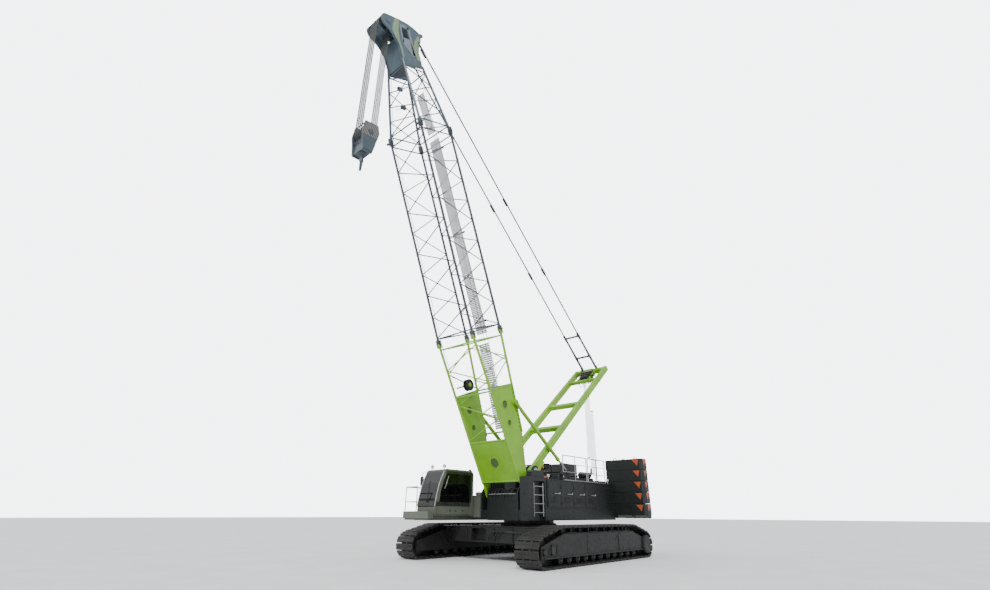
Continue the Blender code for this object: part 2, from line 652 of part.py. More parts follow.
def build_cab(finish, glass, seat_finish, parent):
    """Cab shell with its windows cut, its panes, the sliding door on its rails and the seat."""
    right_y = CAB_LEFT_Y - CAB_WIDTH
    left_window = [(2.12, 2.02), (3.74, 2.02), (3.66, 2.42), (3.52, 2.80), (3.38, 3.06), (2.02, 3.06)]
    door_outline = [(2.44, 1.62), (3.70, 1.62), (3.60, 2.42), (3.36, 3.10), (2.44, 3.10)]
    door_window = [(2.56, 2.05), (3.52, 2.05), (3.44, 2.45), (3.26, 3.00), (2.56, 3.00)]
    low_y, high_y = right_y + 0.10, CAB_LEFT_Y - 0.10
    shell = carve(prism(cab_profile(0.0), right_y, CAB_LEFT_Y),
                  [prism(cab_profile(CAB_WALL), right_y + CAB_WALL, CAB_LEFT_Y - CAB_WALL)])
    shell = carve(shell, [prism(left_window, CAB_LEFT_Y - 0.2, CAB_LEFT_Y + 0.2),
                          prism(window(door_outline, -0.06), right_y - 0.2, right_y + 0.2),
                          box((CAB_FRONT_X - 0.75, low_y, 1.98), (CAB_FRONT_X + 0.3, high_y, 3.05)),
                          box((CAB_REAR_X - 0.2, low_y, 2.35), (CAB_REAR_X + 0.2, high_y, 3.05))])
    rails = [box((CAB_REAR_X + 0.12, right_y - 0.045, z), (CAB_FRONT_X - 0.65, right_y + 0.01, z + 0.03))
             for z in (3.10 + GAP, 1.59 - GAP)]
    piece("cab_shell", fuse([shell] + rails), finish, parent)
    piece("cab_glass_left", prism(window(left_window, GLASS_LAP), CAB_LEFT_Y + GAP, CAB_LEFT_Y + GAP + GLASS),
          glass, parent)
    inner = [(x + GAP, z) for x, z in cab_profile(0.0)[2:6]]
    outer = [(x + GLASS, z) for x, z in reversed(inner)]
    piece("windscreen", prism(inner + outer, right_y + 0.05, CAB_LEFT_Y - 0.05), glass, parent)
    piece("cab_glass_rear", box((CAB_REAR_X - GAP - GLASS, low_y - GLASS_LAP, 2.32),
                                (CAB_REAR_X - GAP, high_y + GLASS_LAP, 3.08)), glass, parent)
    rail_axis = joint("cab_door_slide", (2.44, right_y, 2.36), parent)
    outer_y = right_y - GAP - CAB_DOOR_THICKNESS
    leaf = carve(prism(door_outline, outer_y, right_y - GAP), [prism(door_window, outer_y - 0.1, right_y + 0.1)])
    pane = prism(window(door_window, GLASS_LAP), outer_y - GAP - GLASS, outer_y - GAP)
    for name, made, coat in (("cab_door", leaf, finish), ("cab_door_glass", pane, glass)):
        made.data.transform(Matrix.Translation((-2.44, -right_y, -2.36)))
        piece(name, made, coat, rail_axis)
    floor = CAB_BOTTOM + CAB_WALL
    middle = CAB_LEFT_Y - CAB_WIDTH / 2
    seat = [box((2.38, middle - 0.22, floor + GAP), (2.84, middle + 0.22, floor + 0.42)),
            box((2.28, middle - 0.25, floor + 0.40), (2.90, middle + 0.25, floor + 0.56)),
            prism([(2.24, floor + 0.5), (2.40, floor + 0.5), (2.32, floor + 1.2), (2.18, floor + 1.2)],
                  middle - 0.24, middle + 0.24)]
    piece("operator_seat", fuse(seat), seat_finish, parent)


def build_cab_deck(finish, rail_finish, parent):
    """The cab's carrier beams, the walkway round its front and side, and the railing on it."""
    right_y = CAB_LEFT_Y - CAB_WIDTH
    inner_y = right_y - 0.07
    outer_y = inner_y - WALKWAY_WIDTH
    front_x = CAB_FRONT_X + 0.32
    top = CAB_BOTTOM - GAP
    plan = [(1.0, outer_y), (front_x, outer_y), (front_x, CAB_LEFT_Y), (CAB_FRONT_X + 0.04, CAB_LEFT_Y),
            (CAB_FRONT_X + 0.04, inner_y), (1.0, inner_y)]
    start_y = -WEB_OUTER[1] - GAP
    solids = [prism(plan, 1.45, WALKWAY_TOP, "z"),
              box((0.5, -1.75, 1.38), (front_x - 0.1, -1.55, top)), box((0.5, -2.30, 1.38), (front_x - 0.1, -2.10, top)),
              box((0.52, -2.31, 1.39), (0.75, start_y, top - 0.01)), box((1.3, outer_y + 0.02, 1.39), (1.55, start_y, top - 0.01)),
              box((2.7, outer_y + 0.02, 1.39), (2.85, -1.6, top - 0.01)),
              box((front_x - 0.25, outer_y + 0.02, 1.39), (front_x - 0.08, CAB_LEFT_Y - 0.05, top - 0.01)),
              box((1.15, -1.76, top - 0.05), (1.79, start_y, 2.30))]
    piece("cab_deck", fuse(solids), finish, parent)
    foot = WALKWAY_TOP + GAP
    y = outer_y + 0.05
    x = front_x - 0.05
    posts = [(x, y), (x, right_y + 0.25), (2.9, y), (1.2, y)]
    rails = [tube((px, py, foot), (px, py, foot + 0.89), 0.02, 6) for px, py in posts]
    for z, radius in ((foot + 0.875, 0.022), (foot + 0.34, 0.015)):
        rails.append(tube((x, y, z), (x, right_y + 0.25, z), radius, 6, 0.5))
        rails.append(tube((x, y, z), (1.2, y, z), radius, 6, 0.5))
    piece("cab_railing", fuse(rails), rail_finish, parent)


# ---------------------------------------------------------------- boom
def chord(side, face, s):
    """A point on a chord's centre line in the boom's frame: along it, sideways, and up its back."""
    half, front, rear = BOOM_HALF_WIDTH, BOOM_FRONT, BOOM_REAR
    if s < BASE_LENGTH:
        front = FOOT_FRONT + (BOOM_FRONT - FOOT_FRONT) * s / BASE_LENGTH
        rear = BOOM_REAR - FOOT_REAR_TAPER * (BASE_LENGTH - s)
    beyond = s - BASE_LENGTH - INSERT_LENGTH
    if beyond > 0:
        share = beyond / TOP_LENGTH
        half += (TOP_HALF_WIDTH - BOOM_HALF_WIDTH) * share
        front += (TOP_FRONT - BOOM_FRONT) * share
        rear += (TOP_REAR - BOOM_REAR) * share
    return Vector((s, side * half, -front if face < 0 else rear))


CORNERS = ((-1, -1), (1, -1), (1, 1), (-1, 1))
LACED_FACES = (((-1, -1), (1, -1)), ((-1, 1), (-1, -1)), ((1, 1), (-1, 1)), ((1, -1), (1, 1)))


def chords(start, end, rear_start=None):
    """The four chord tubes between two stations."""
    made = []
    for side, face in CORNERS:
        begin = rear_start if rear_start and face > 0 else start
        made.append(tube(chord(side, face, begin), chord(side, face, end), CHORD_RADIUS, 8, 0.5))
    return made


def frame_ring(s):
    """A square of tubes across the boom."""
    return [tube(chord(*a, s), chord(*b, s), LACE_RADIUS * 1.2, 6, 0.25) for a, b in LACED_FACES]


def connectors(s, direction):
    """The square lugs at a section's end."""
    made = []
    for side, face in CORNERS:
        centre = chord(side, face, s)
        size = CHORD_RADIUS * 1.35
        near, far = sorted((s, s - direction * CONNECTOR))
        made.append(box((near, centre.y - size, centre.z - size), (far, centre.y + size, centre.z + size)))
    return made


def lacing(a, b, stations, radius=LACE_RADIUS):
    """Zig-zag tubes between two chords at the given stations."""
    made = []
    for k, (low, high) in enumerate(zip(stations, stations[1:])):
        first, second = (a, b) if k % 2 == 0 else (b, a)
        made.append(tube(chord(*first, low), chord(*second, high), radius, 5, 0.2))
    return made


def spread(low, high, count):
    """Evenly spaced stations."""
    return [low + (high - low) * k / count for k in range(count + 1)]


def foot_plate(side):
    """One of the foot section's side plates, with its foot bore and lightening holes."""
    y = side * BOOM_HALF_WIDTH
    low, high = y - PLATE_THICKNESS / 2, y + PLATE_THICKNESS / 2
    end = PLATE_TOP + 0.05
    outline = arc((0, 0), 0.15, 110, 250, 7)
    outline += [(0.6, chord(1, -1, 0.6).z), (end, chord(1, -1, end).z), (end, chord(1, 1, end).z),
                (2.28, chord(1, 1, 2.28).z), (1.34, 0.49)]
    holes = [turned([(radius, low - 0.1), (radius, high + 0.1)], (s, 0, d), segments=16)
             for s, d, radius in ((0, 0, FOOT_PIN_RADIUS + PIN_PLAY), (3.49, 0.05, 0.15), (2.75, 0.05, 0.11))]
    return carve(prism(outline, low, high), holes)


def build_boom_base(finish, axis):
    """Foot section: side plates, front plate with its round hole, lattice above, backstop pins."""
    end = BASE_LENGTH - GAP
    solids = chords(0.5, end - CONNECTOR / 2, 2.2) + connectors(end, 1) + frame_ring(end - 0.25)
    for side in (-1, 1):
        solids.append(foot_plate(side))
        s, d = BACKSTOP_TOP
        low, high = sorted((side * BOOM_HALF_WIDTH, side * (BACKSTOP_Y + BACKSTOP_RADIUS + 0.03)))
        solids.append(turned([(0.04, low), (0.04, high)], (s, 0, d), segments=12))
    low, high = chord(1, -1, 0.55), chord(1, -1, 2.2)
    skin = [(low.x, low.z - 0.01), (high.x, high.z - 0.01), (high.x, high.z + 0.01), (low.x, low.z + 0.01)]
    hole = turned([(0.19, -1.0), (0.19, 1.0)], (1.33, 0, 0), "z", 20)
    solids.append(carve(prism(skin, -BOOM_HALF_WIDTH, BOOM_HALF_WIDTH), [hole]))
    for s, face in ((0.55, -1), (2.2, -1), (2.3, 1), (PLATE_TOP, 1), (PLATE_TOP, -1)):
        solids.append(tube(chord(-1, face, s), chord(1, face, s), 0.036, 8))
    last = end - 0.40
    front, right, rear, left = LACED_FACES
    solids += lacing(*front, spread(2.32, last, 5)) + lacing(*rear, spread(2.42, last, 5))
    solids += lacing(*right, spread(PLATE_TOP + 0.1, last, 2)) + lacing(*left, spread(PLATE_TOP + 0.1, last, 2))
    piece("boom_base", fuse(solids), finish, axis)


def build_boom_insert(finish, axis):
    """The parallel middle section."""
    start, end = BASE_LENGTH, BASE_LENGTH + INSERT_LENGTH - GAP
    solids = chords(start + CONNECTOR / 2, end - CONNECTOR / 2)
    solids += connectors(start, -1) + connectors(end, 1)
    solids += frame_ring(start + 0.22) + frame_ring(end - 0.22)
    count = int((INSERT_LENGTH - 2 * LACE_START) / LACE_PITCH)
    stations = [start + LACE_START + k * LACE_PITCH for k in range(count + 1)]
    for a, b in LACED_FACES:
        solids += lacing(a, b, stations)
    piece("boom_insert", fuse(solids), finish, axis)


def head_cheek(side):
    """One head cheek plate with its window."""
    outline = [(18.45, -0.42), (19.40, -0.44), (19.75, -0.62)]
    outline += arc(HEAD_AXIS, SHEAVE_RADIUS + 0.05, -165, 5, 8)
    outline += [(20.74, -0.05), (20.72, 0.40), (20.64, 0.76), (20.48, 1.08), (20.52, 1.30), (20.38, 1.30),
                (20.26, 1.12), (20.02, 1.04), (19.84, 0.90), (19.40, 0.74), (18.60, 0.74)]
    y = side * TOP_HALF_WIDTH
    low, high = y - HEAD_CHEEK / 2, y + HEAD_CHEEK / 2
    pane = prism([(20.38, -0.02), (20.37, 0.29), (19.86, 0.33), (19.84, -0.08)], low - 0.1, high + 0.1)
    return carve(prism(outline, low, high), [pane])


def build_boom_top(finish, axis):
    """Tapered top section ending in the sheave head."""
    start = BASE_LENGTH + INSERT_LENGTH
    end = start + TOP_LENGTH
    solids = chords(start + CONNECTOR / 2, end) + connectors(start, -1) + frame_ring(start + 0.22) + frame_ring(end - 0.3)
    for a, b in LACED_FACES:
        solids += lacing(a, b, spread(start + LACE_START, end - 0.35, 4))
    half = TOP_HALF_WIDTH
    solids += [head_cheek(-1), head_cheek(1)]
    solids.append(prism([(18.50, -0.435), (19.41, -0.43), (19.80, -0.41), (19.80, -0.39), (19.40, -0.41), (18.50, -0.415)],
                        -half, half))
    solids.append(prism([(20.72, -0.04), (20.70, 0.39), (20.62, 0.74), (20.47, 1.06), (20.44, 1.05), (20.59, 0.73),
                         (20.67, 0.39), (20.69, -0.04)], -half, half))
    for s, d in ((19.5, 0.62), (19.3, -0.30), (20.60, -0.20)):
        solids.append(tube((s, -half, d), (s, half, d), 0.05, 8))
    piece("boom_top", fuse(solids), finish, axis)


def build_walkway(finish, axis):
    """Grating strip up the insert's back, bolted under the end frames."""
    rear = BOOM_REAR - LACE_RADIUS * 1.2 * math.cos(math.radians(15)) - GAP
    half = WALKWAY_STRIP / 2
    strip = box((BASE_LENGTH + 0.02, -half, rear - 0.035), (BASE_LENGTH + INSERT_LENGTH - 0.02, half, rear))
    piece("boom_walkway", strip, finish, axis)


# ---------------------------------------------------------------- sheaves, ropes and hook
def sheave_pack(radius, reach):
    """Grooved sheaves side by side on one axle that reaches both cheeks."""
    count = 4
    pitch = SHEAVE_PACK / count
    profile = [(0.09, -reach), (0.09, -SHEAVE_PACK / 2)]
    for i in range(count):
        left = -SHEAVE_PACK / 2 + i * pitch
        profile += [(radius, left + pitch * 0.05), (radius * 0.86, left + pitch * 0.5), (radius, left + pitch * 0.95)]
    return turned(profile + [(0.09, SHEAVE_PACK / 2), (0.09, reach)], (0, 0, 0), segments=16)


def hoist_loop():
    """The hoist falls as one layer: down the front of the head sheaves, round the hook's, up the rear."""
    half_step = 11.25

    def line(offset):
        radius = offset / math.cos(math.radians(half_step))
        return [(-offset, 0)] + arc((0, -HOOK_DROP), radius, 180 + half_step, 360 - half_step, 7) + [(offset, 0)]
    inner = line(SHEAVE_RADIUS + GAP)
    outer = line(SHEAVE_RADIUS + GAP + ROPE_LAYER)
    return prism(inner + outer[::-1], -SHEAVE_PACK / 2 + 0.02, SHEAVE_PACK / 2 - 0.02)


def build_hook_gear(rope, block_finish, steel, boom_axis):
    """Head sheaves, hoist ropes, hook block with its sheaves, and the swivelling hook."""
    place = (HEAD_AXIS[0], 0, HEAD_AXIS[1])
    sheave_axis = joint("head_sheaves_axis", place, boom_axis, -BOOM_ANGLE)
    reach = TOP_HALF_WIDTH - HEAD_CHEEK / 2 - GAP
    piece("head_sheaves", sheave_pack(SHEAVE_RADIUS, reach), steel, sheave_axis, smooth=True)
    hang = joint("hang_axis", place, boom_axis, -BOOM_ANGLE)
    piece("hoist_ropes", hoist_loop(), rope, hang)
    z = -HOOK_DROP
    cheek = [(-0.31, z + 0.50), (-0.40, z + 0.15), (-0.28, z - 0.40), (-0.17, z - 0.92), (0.24, z - 0.96),
             (0.36, z - 0.12), (0.28, z + 0.40)]
    solids = []
    for side in (-1, 1):
        solids.append(prism(cheek, *sorted((side * (HOOK_HALF_WIDTH - 0.06), side * HOOK_HALF_WIDTH))))
    seat = z - SHEAVE_RADIUS - ROPE_LAYER - 2 * GAP
    half = HOOK_HALF_WIDTH - 0.01
    foot = z - 0.90
    solids.append(box((-0.16, -half, foot), (0.22, half, seat)))
    piece("hook_block", fuse(solids), block_finish, hang)
    pack_axis = joint("hook_sheaves_axis", (0, 0, z), hang)
    reach = HOOK_HALF_WIDTH - 0.06 - GAP
    piece("hook_sheaves", sheave_pack(SHEAVE_RADIUS, reach), steel, pack_axis, smooth=True)
    swivel = joint("hook_swivel", (0.02, 0, foot), hang)
    swivel.rotation_euler.z = math.radians(HOOK_TURN)
    rings = []
    for i in range(14):
        angle = math.radians(95 - 255 * i / 13)
        thick = 0.085 - 0.045 * i / 13
        outward = Vector((math.cos(angle), 0, math.sin(angle)))
        centre = outward * 0.20 + Vector((0.02, 0, -0.50))
        rings.append([centre + (outward * math.cos(t) + Vector((0, 0.8, 0)) * math.sin(t)) * thick
                      for t in [math.tau * k / 10 for k in range(10)]])
    shank = turned([(0.08, -GAP), (0.08, -0.30)], (0, 0, 0), "z", 16)
    piece("hook", fuse([shank, loft(rings)]), block_finish, swivel)


# ---------------------------------------------------------------- mast, pendants, backstops
def mast_leg(side, length):
    """A box leg tapering to its foot eye."""
    width, depth = MAST_LEG
    y = side * MAST_HALF_WIDTH
    low, high = y - width / 2, y + width / 2
    rings = []
    for s, half in ((0.08, 0.10), (0.9, depth / 2), (length + 0.16, depth / 2)):
        rings.append([(s, low, -half), (s, high, -half), (s, high, half), (s, low, half)])
    eye = turned([(0.14, low + 0.001), (0.14, high - 0.001)], (0, 0, 0), segments=20)
    bore = turned([(MAST_PIN_RADIUS + PIN_PLAY, low - 0.1), (MAST_PIN_RADIUS + PIN_PLAY, high + 0.1)], (0, 0, 0),
                  segments=16)
    return carve(fuse([loft(rings), eye]), [bore])


def build_mast(finish, steel, parent):
    """The mast with its cross members, head beam, pendant lugs and sheaves; returns its axis and length."""
    lean = math.degrees(math.atan2(MAST_HEAD[1] - MAST_FOOT[1], MAST_HEAD[0] - MAST_FOOT[0]))
    length = math.dist(MAST_FOOT, MAST_HEAD)
    axis = joint("mast_axis", (MAST_FOOT[0], 0, MAST_FOOT[1]), parent, lean)
    reach = MAST_HALF_WIDTH
    sheave_s = length - MAST_SHEAVE_BACK
    solids = [mast_leg(-1, length), mast_leg(1, length)]
    for s, half in ((3.17, 0.10), (5.26, 0.10), (sheave_s - 0.55, 0.08), (length, 0.12)):
        solids.append(box((s - half, -reach, -half), (s + half, reach, half)))
    for side in (-1, 1):
        low, high = sorted((side * 0.30, side * 0.34))
        solids.append(box((sheave_s - 0.60, low, -0.11), (length, high, 0.11)))
        near = PENDANT_Y + PENDANT_PLATE / 2 + GAP
        solids.append(prism([(length - 0.09, -0.10), (length + 0.09, -0.10), (length + 0.06, -0.32),
                             (length - 0.06, -0.32)], *sorted((side * near, side * (near + 0.03)))))
    piece("mast", fuse(solids), finish, axis)
    sheave_axis = joint("mast_sheaves_axis", (sheave_s, 0, 0), axis, -lean)
    piece("mast_sheaves", sheave_pack(MAST_SHEAVE_RADIUS, 0.30 - GAP), steel, sheave_axis, smooth=True)
    return axis, lean, length


def boom_point(s, d):
    """A boom station in the upper's XZ plane."""
    angle = math.radians(BOOM_ANGLE)
    return (BOOM_FOOT[0] + s * math.cos(angle) - d * math.sin(angle),
            BOOM_FOOT[1] + s * math.sin(angle) + d * math.cos(angle))


def heading(near, far):
    """Angle of the line between two XZ points, in degrees."""
    return math.degrees(math.atan2(far[1] - near[1], far[0] - near[0]))


def build_pendants(finish, mast_axis, lean, length):
    """Both pendants, joined by two cross bars near the mast, pinned to its head; their boom ends are open."""
    local = (length, -0.24)
    angle = math.radians(lean)
    pin = (MAST_FOOT[0] + local[0] * math.cos(angle) - local[1] * math.sin(angle),
           MAST_FOOT[1] + local[0] * math.sin(angle) + local[1] * math.cos(angle))
    lug = boom_point(*PENDANT_LUG)
    axis = joint("pendant_axis", (local[0], 0, local[1]), mast_axis, heading(pin, lug) - lean)
    span = math.dist(pin, lug)
    solids = []
    for side in (-1, 1):
        y = side * PENDANT_Y
        low, high = y - PENDANT_PLATE / 2, y + PENDANT_PLATE / 2
        solids.append(prism([(-0.08, -0.06), (0.0, -0.10), (2.2, -0.07), (2.2, 0.07), (0.0, 0.10), (-0.08, 0.06)],
                            low, high))
        solids.append(box((2.1, y - 0.025, -PENDANT_BAR / 2), (span - 0.25, y + 0.025, PENDANT_BAR / 2)))
        solids.append(prism([(span - 0.3, -0.07), (span + 0.06, -0.07), (span + 0.10, 0.0), (span + 0.06, 0.07),
                             (span - 0.3, 0.07)], low, high))
    for s in (0.75, 2.1):
        solids.append(box((s - 0.04, -PENDANT_Y, -0.04), (s + 0.04, PENDANT_Y, 0.04)))
    piece("pendants", fuse(solids), finish, axis)


def build_falls(finish, mast_axis, lean, length):
    """Luffing ropes between the mast head and the tackle, as three layers that run past each other."""
    sheave_s = length - MAST_SHEAVE_BACK
    angle = math.radians(lean)
    top = (MAST_FOOT[0] + sheave_s * math.cos(angle), MAST_FOOT[1] + sheave_s * math.sin(angle))
    parent = joint("luffing_ropes_axis", (sheave_s, 0, 0), mast_axis, heading(top, TACKLE) - lean)
    start = MAST_SHEAVE_RADIUS + GAP
    for i, name in enumerate(("upper", "middle", "lower")):
        if i:
            parent = joint(f"luffing_ropes_{name}_slide", (FALLS_STEP[0], 0, 0), parent)
        y = (i - 1) * (0.12 + GAP)
        layer = box((start, y - 0.06, -ROPE_LAYER / 2), (start + FALLS_LENGTH, y + 0.06, ROPE_LAYER / 2))
        piece(f"luffing_ropes_{name}", layer, finish, parent)


def build_backstops(tube_finish, rod_finish, boom_axis):
    """Two boom backstops: tube pinned to the boom, rod sliding in it, its eye open at the seat."""
    top = boom_point(*BACKSTOP_TOP)
    angle = heading(top, BACKSTOP_SEAT)
    span = math.dist(top, BACKSTOP_SEAT)
    for side, hand in ((1, "left"), (-1, "right")):
        y = side * BACKSTOP_Y
        place = (BACKSTOP_TOP[0], y, BACKSTOP_TOP[1])
        axis = joint(f"backstop_tube_{hand}_axis", place, boom_axis, angle - BOOM_ANGLE)
        near = y - side * (BACKSTOP_Y - BOOM_HALF_WIDTH - PLATE_THICKNESS / 2 - GAP)
        body = fuse([tube((0.05, 0, 0), (BACKSTOP_TUBE, 0, 0), BACKSTOP_RADIUS, 12, 0.5),
                     turned([(0.11, near - y), (0.11, side * BACKSTOP_RADIUS)], (0, 0, 0), segments=16)])
        bore = BACKSTOP_ROD_RADIUS + GAP
        pin_hole = turned([(0.046, -0.2), (0.046, 0.2)], (0, 0, 0), segments=12)
        body = carve(body, [tube((0.20, 0, 0), (BACKSTOP_TUBE + 0.1, 0, 0), bore, 12, 0.5), pin_hole])
        piece(f"backstop_tube_{hand}", body, tube_finish, axis)
        slide = joint(f"backstop_rod_{hand}_slide", (0, 0, 0), axis)
        rod = fuse([tube((1.25, 0, 0), (span - 0.02, 0, 0), BACKSTOP_ROD_RADIUS, 12, 0.5),
                    turned([(0.075, -0.045), (0.075, 0.045)], (span, 0, 0), segments=16)])
        piece(f"backstop_rod_{hand}", rod, rod_finish, slide)


def main():
    """Builds the crane."""
    for old in list(bpy.data.objects):
        bpy.data.objects.remove(old, do_unlink=True)
    lime = material("lime_paint", (0.30, 0.56, 0.05), 0.4)
    boom_grey = material("boom_grey_paint", (0.10, 0.12, 0.14), 0.5)
    dark_green = material("dark_green_paint", (0.02, 0.035, 0.025), 0.45)
    charcoal = material("charcoal_paint", (0.03, 0.03, 0.028), 0.6)
    steel = material("worn_steel", (0.06, 0.06, 0.055), 0.6, 0.6)
    cab_grey = material("cab_grey_paint", (0.13, 0.14, 0.11), 0.5)
    glass = material("dark_glass", (0.02, 0.03, 0.03), 0.05)
    galvanised = material("galvanised_steel", (0.4, 0.4, 0.4), 0.5, 0.8)
    seat = material("seat_cloth", (0.02, 0.02, 0.02), 0.8)
    root = joint("crane", (SLEW_AXIS_X, 0, 0))
    build_tracks(charcoal, steel, root)
    build_car_body(charcoal, root)
    upper = joint("slew_axis", (0, 0, 0), root)
    build_main_frame(dark_green, upper)
    build_houses(dark_green, charcoal, upper)
    build_front_box(dark_green, galvanised, upper)
    build_handrail(galvanised, upper)
    build_winches(steel, upper)
    build_counterweight(dark_green, upper)
    build_cab(cab_grey, glass, seat, upper)
    build_cab_deck(cab_grey, lime, upper)
    boom_axis = joint("boom_axis", (BOOM_FOOT[0], 0, BOOM_FOOT[1]), upper, BOOM_ANGLE)
    build_boom_base(lime, boom_axis)
    build_boom_insert(boom_grey, boom_axis)
    build_boom_top(boom_grey, boom_axis)
    build_walkway(galvanised, boom_axis)
    build_hook_gear(galvanised, boom_grey, steel, boom_axis)
    mast_axis, lean, length = build_mast(lime, steel, upper)
    build_pendants(boom_grey, mast_axis, lean, length)
    build_falls(galvanised, mast_axis, lean, length)
    build_backstops(lime, galvanised, boom_axis)


main()
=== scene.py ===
import sys
import json
import logging
import math
from dataclasses import dataclass, field
from enum import Enum
from typing import Callable, Iterable, Sequence

import bmesh
import bpy
from mathutils import Matrix, Vector


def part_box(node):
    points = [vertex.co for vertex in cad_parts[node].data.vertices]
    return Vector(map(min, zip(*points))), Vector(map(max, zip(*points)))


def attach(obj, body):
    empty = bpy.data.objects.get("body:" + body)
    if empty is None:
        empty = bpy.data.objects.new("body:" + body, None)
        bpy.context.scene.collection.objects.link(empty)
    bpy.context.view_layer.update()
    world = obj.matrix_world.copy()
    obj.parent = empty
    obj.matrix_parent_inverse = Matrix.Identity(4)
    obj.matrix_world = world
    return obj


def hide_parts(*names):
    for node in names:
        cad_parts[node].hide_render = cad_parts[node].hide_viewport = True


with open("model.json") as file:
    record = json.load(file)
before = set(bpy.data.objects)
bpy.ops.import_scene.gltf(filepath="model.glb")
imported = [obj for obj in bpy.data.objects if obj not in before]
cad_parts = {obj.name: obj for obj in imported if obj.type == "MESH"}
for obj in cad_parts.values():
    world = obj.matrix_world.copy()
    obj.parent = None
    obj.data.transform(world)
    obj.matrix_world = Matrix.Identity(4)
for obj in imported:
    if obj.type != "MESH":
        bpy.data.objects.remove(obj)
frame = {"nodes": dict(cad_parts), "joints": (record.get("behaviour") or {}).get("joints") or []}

LOG = logging.getLogger("crane")
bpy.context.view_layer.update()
Point = Sequence[float]
Outline = list[tuple[float, float]]
Lamp = tuple[str, float, tuple[float, float, float], float]


class Body(str, Enum):
    """The moving bodies that several pieces ride on."""

    UNDER = "undercarriage"
    UPPER = "upper_works"
    BOOM = "boom"
    MAST = "mast"
    PENDANTS = "pendants"
    BLOCK = "hook_gear"
    HOOK = "hook"


class Slot(str, Enum):
    """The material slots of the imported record."""

    UNDER = "undercarriage_paint"
    TRACK = "track_steel"
    UPPER = "upper_paint"
    LIME = "lime_paint"
    BOOM = "boom_paint"
    CAB = "cab_paint"
    GLASS = "dark_glass"
    GALVANISED = "galvanised_steel"
    SHEAVE = "sheave_steel"
    SEAT = "seat_cloth"
    BLOCK = "block_paint"


# ------------------------------------------------------------------ finishes
class NodeTree:
    """A material's node tree with short ways to add nodes and join them."""

    def __init__(self, name: str) -> None:
        """Starts a material with its Principled shader.

        Args:
            name: the material's name.
        """
        self.material = bpy.data.materials.new(name)
        self.material.use_nodes = True
        self.tree = self.material.node_tree
        self.shader = self.tree.nodes["Principled BSDF"]
        coords = self.tree.nodes.new("ShaderNodeTexCoord")
        self.coords = coords.outputs["Object"]

    def node(self, kind: str, inputs: dict | None = None, **settings: object) -> bpy.types.Node:
        """Adds a node.

        Args:
            kind: the node's type name.
            inputs: socket name or number to a value or an output socket.
            settings: attributes of the node itself.

        Returns:
            The node.
        """
        made = self.tree.nodes.new(kind)
        for key, value in settings.items():
            setattr(made, key, value)
        for key, value in (inputs or {}).items():
            if isinstance(value, bpy.types.NodeSocket):
                self.tree.links.new(value, made.inputs[key])
            else:
                made.inputs[key].default_value = value
        return made

    def noise(self, scale: float, detail: float = 4.0,
              stretch: Point = (1.0, 1.0, 1.0)) -> bpy.types.NodeSocket:
        """A noise value over the object.

        Args:
            scale: features per metre.
            detail: octaves.
            stretch: how much each axis is scaled first.

        Returns:
            The noise's value socket.
        """
        mapped = self.node("ShaderNodeMapping", {"Vector": self.coords, "Scale": stretch})
        made = self.node("ShaderNodeTexNoise", {"Vector": mapped.outputs[0], "Scale": scale,
                                                "Detail": detail, "Roughness": 0.6})
        return made.outputs[0]

    def ramp(self, value: bpy.types.NodeSocket, low: float, high: float,
             bottom: float = 0.0, top: float = 1.0) -> bpy.types.NodeSocket:
        """Maps a value between two limits, held at both ends.

        Args:
            value: the socket to map.
            low: the value that gives bottom.
            high: the value that gives top.
            bottom: the lowest result.
            top: the highest result.

        Returns:
            The mapped socket.
        """
        made = self.node("ShaderNodeMapRange", {"Value": value, "From Min": low, "From Max": high,
                                                "To Min": bottom, "To Max": top})
        return made.outputs[0]

    def product(self, first: bpy.types.NodeSocket,
                second: bpy.types.NodeSocket | float) -> bpy.types.NodeSocket:
        """Two values multiplied."""
        return self.node("ShaderNodeMath", {0: first, 1: second}, operation="MULTIPLY").outputs[0]

    def mix(self, share: bpy.types.NodeSocket, first: object,
            second: object) -> bpy.types.NodeSocket:
        """Mixes two colours.

        Args:
            share: how much of the second colour shows.
            first: a colour or colour socket.
            second: a colour or colour socket.

        Returns:
            The mixed colour.
        """
        made = self.node("ShaderNodeMix", {"Factor": share, 6: first, 7: second}, data_type="RGBA")
        return made.outputs[2]

    def edges(self, radius: float) -> tuple[bpy.types.NodeSocket, bpy.types.NodeSocket]:
        """Rounded normals and a mask that is 1 on sharp edges.

        Args:
            radius: how far the rounding reaches, in metres.

        Returns:
            The rounded normal and the mask.
        """
        bevel = self.node("ShaderNodeBevel", {"Radius": radius}, samples=4)
        plain = self.node("ShaderNodeNewGeometry")
        dot = self.node("ShaderNodeVectorMath", {0: bevel.outputs[0], 1: plain.outputs["Normal"]},
                        operation="DOT_PRODUCT")
        return bevel.outputs[0], self.ramp(dot.outputs["Value"], 0.985, 0.90)

    def bump(self, height: bpy.types.NodeSocket, strength: float, distance: float,
             normal: bpy.types.NodeSocket | None = None) -> None:
        """Joins a bump to the shader.

        Args:
            height: the height value.
            strength: share of the bump that shows.
            distance: height in metres.
            normal: a normal to start from.
        """
        inputs = {"Height": height, "Strength": strength, "Distance": distance}
        if normal is not None:
            inputs["Normal"] = normal
        made = self.node("ShaderNodeBump", inputs)
        self.tree.links.new(made.outputs[0], self.shader.inputs["Normal"])

    def set(self, **values: object) -> None:
        """Sets or joins sockets of the shader, their names with _ for spaces."""
        for key, value in values.items():
            socket = self.shader.inputs[key.replace("_", " ")]
            if isinstance(value, bpy.types.NodeSocket):
                self.tree.links.new(value, socket)
            else:
                socket.default_value = value


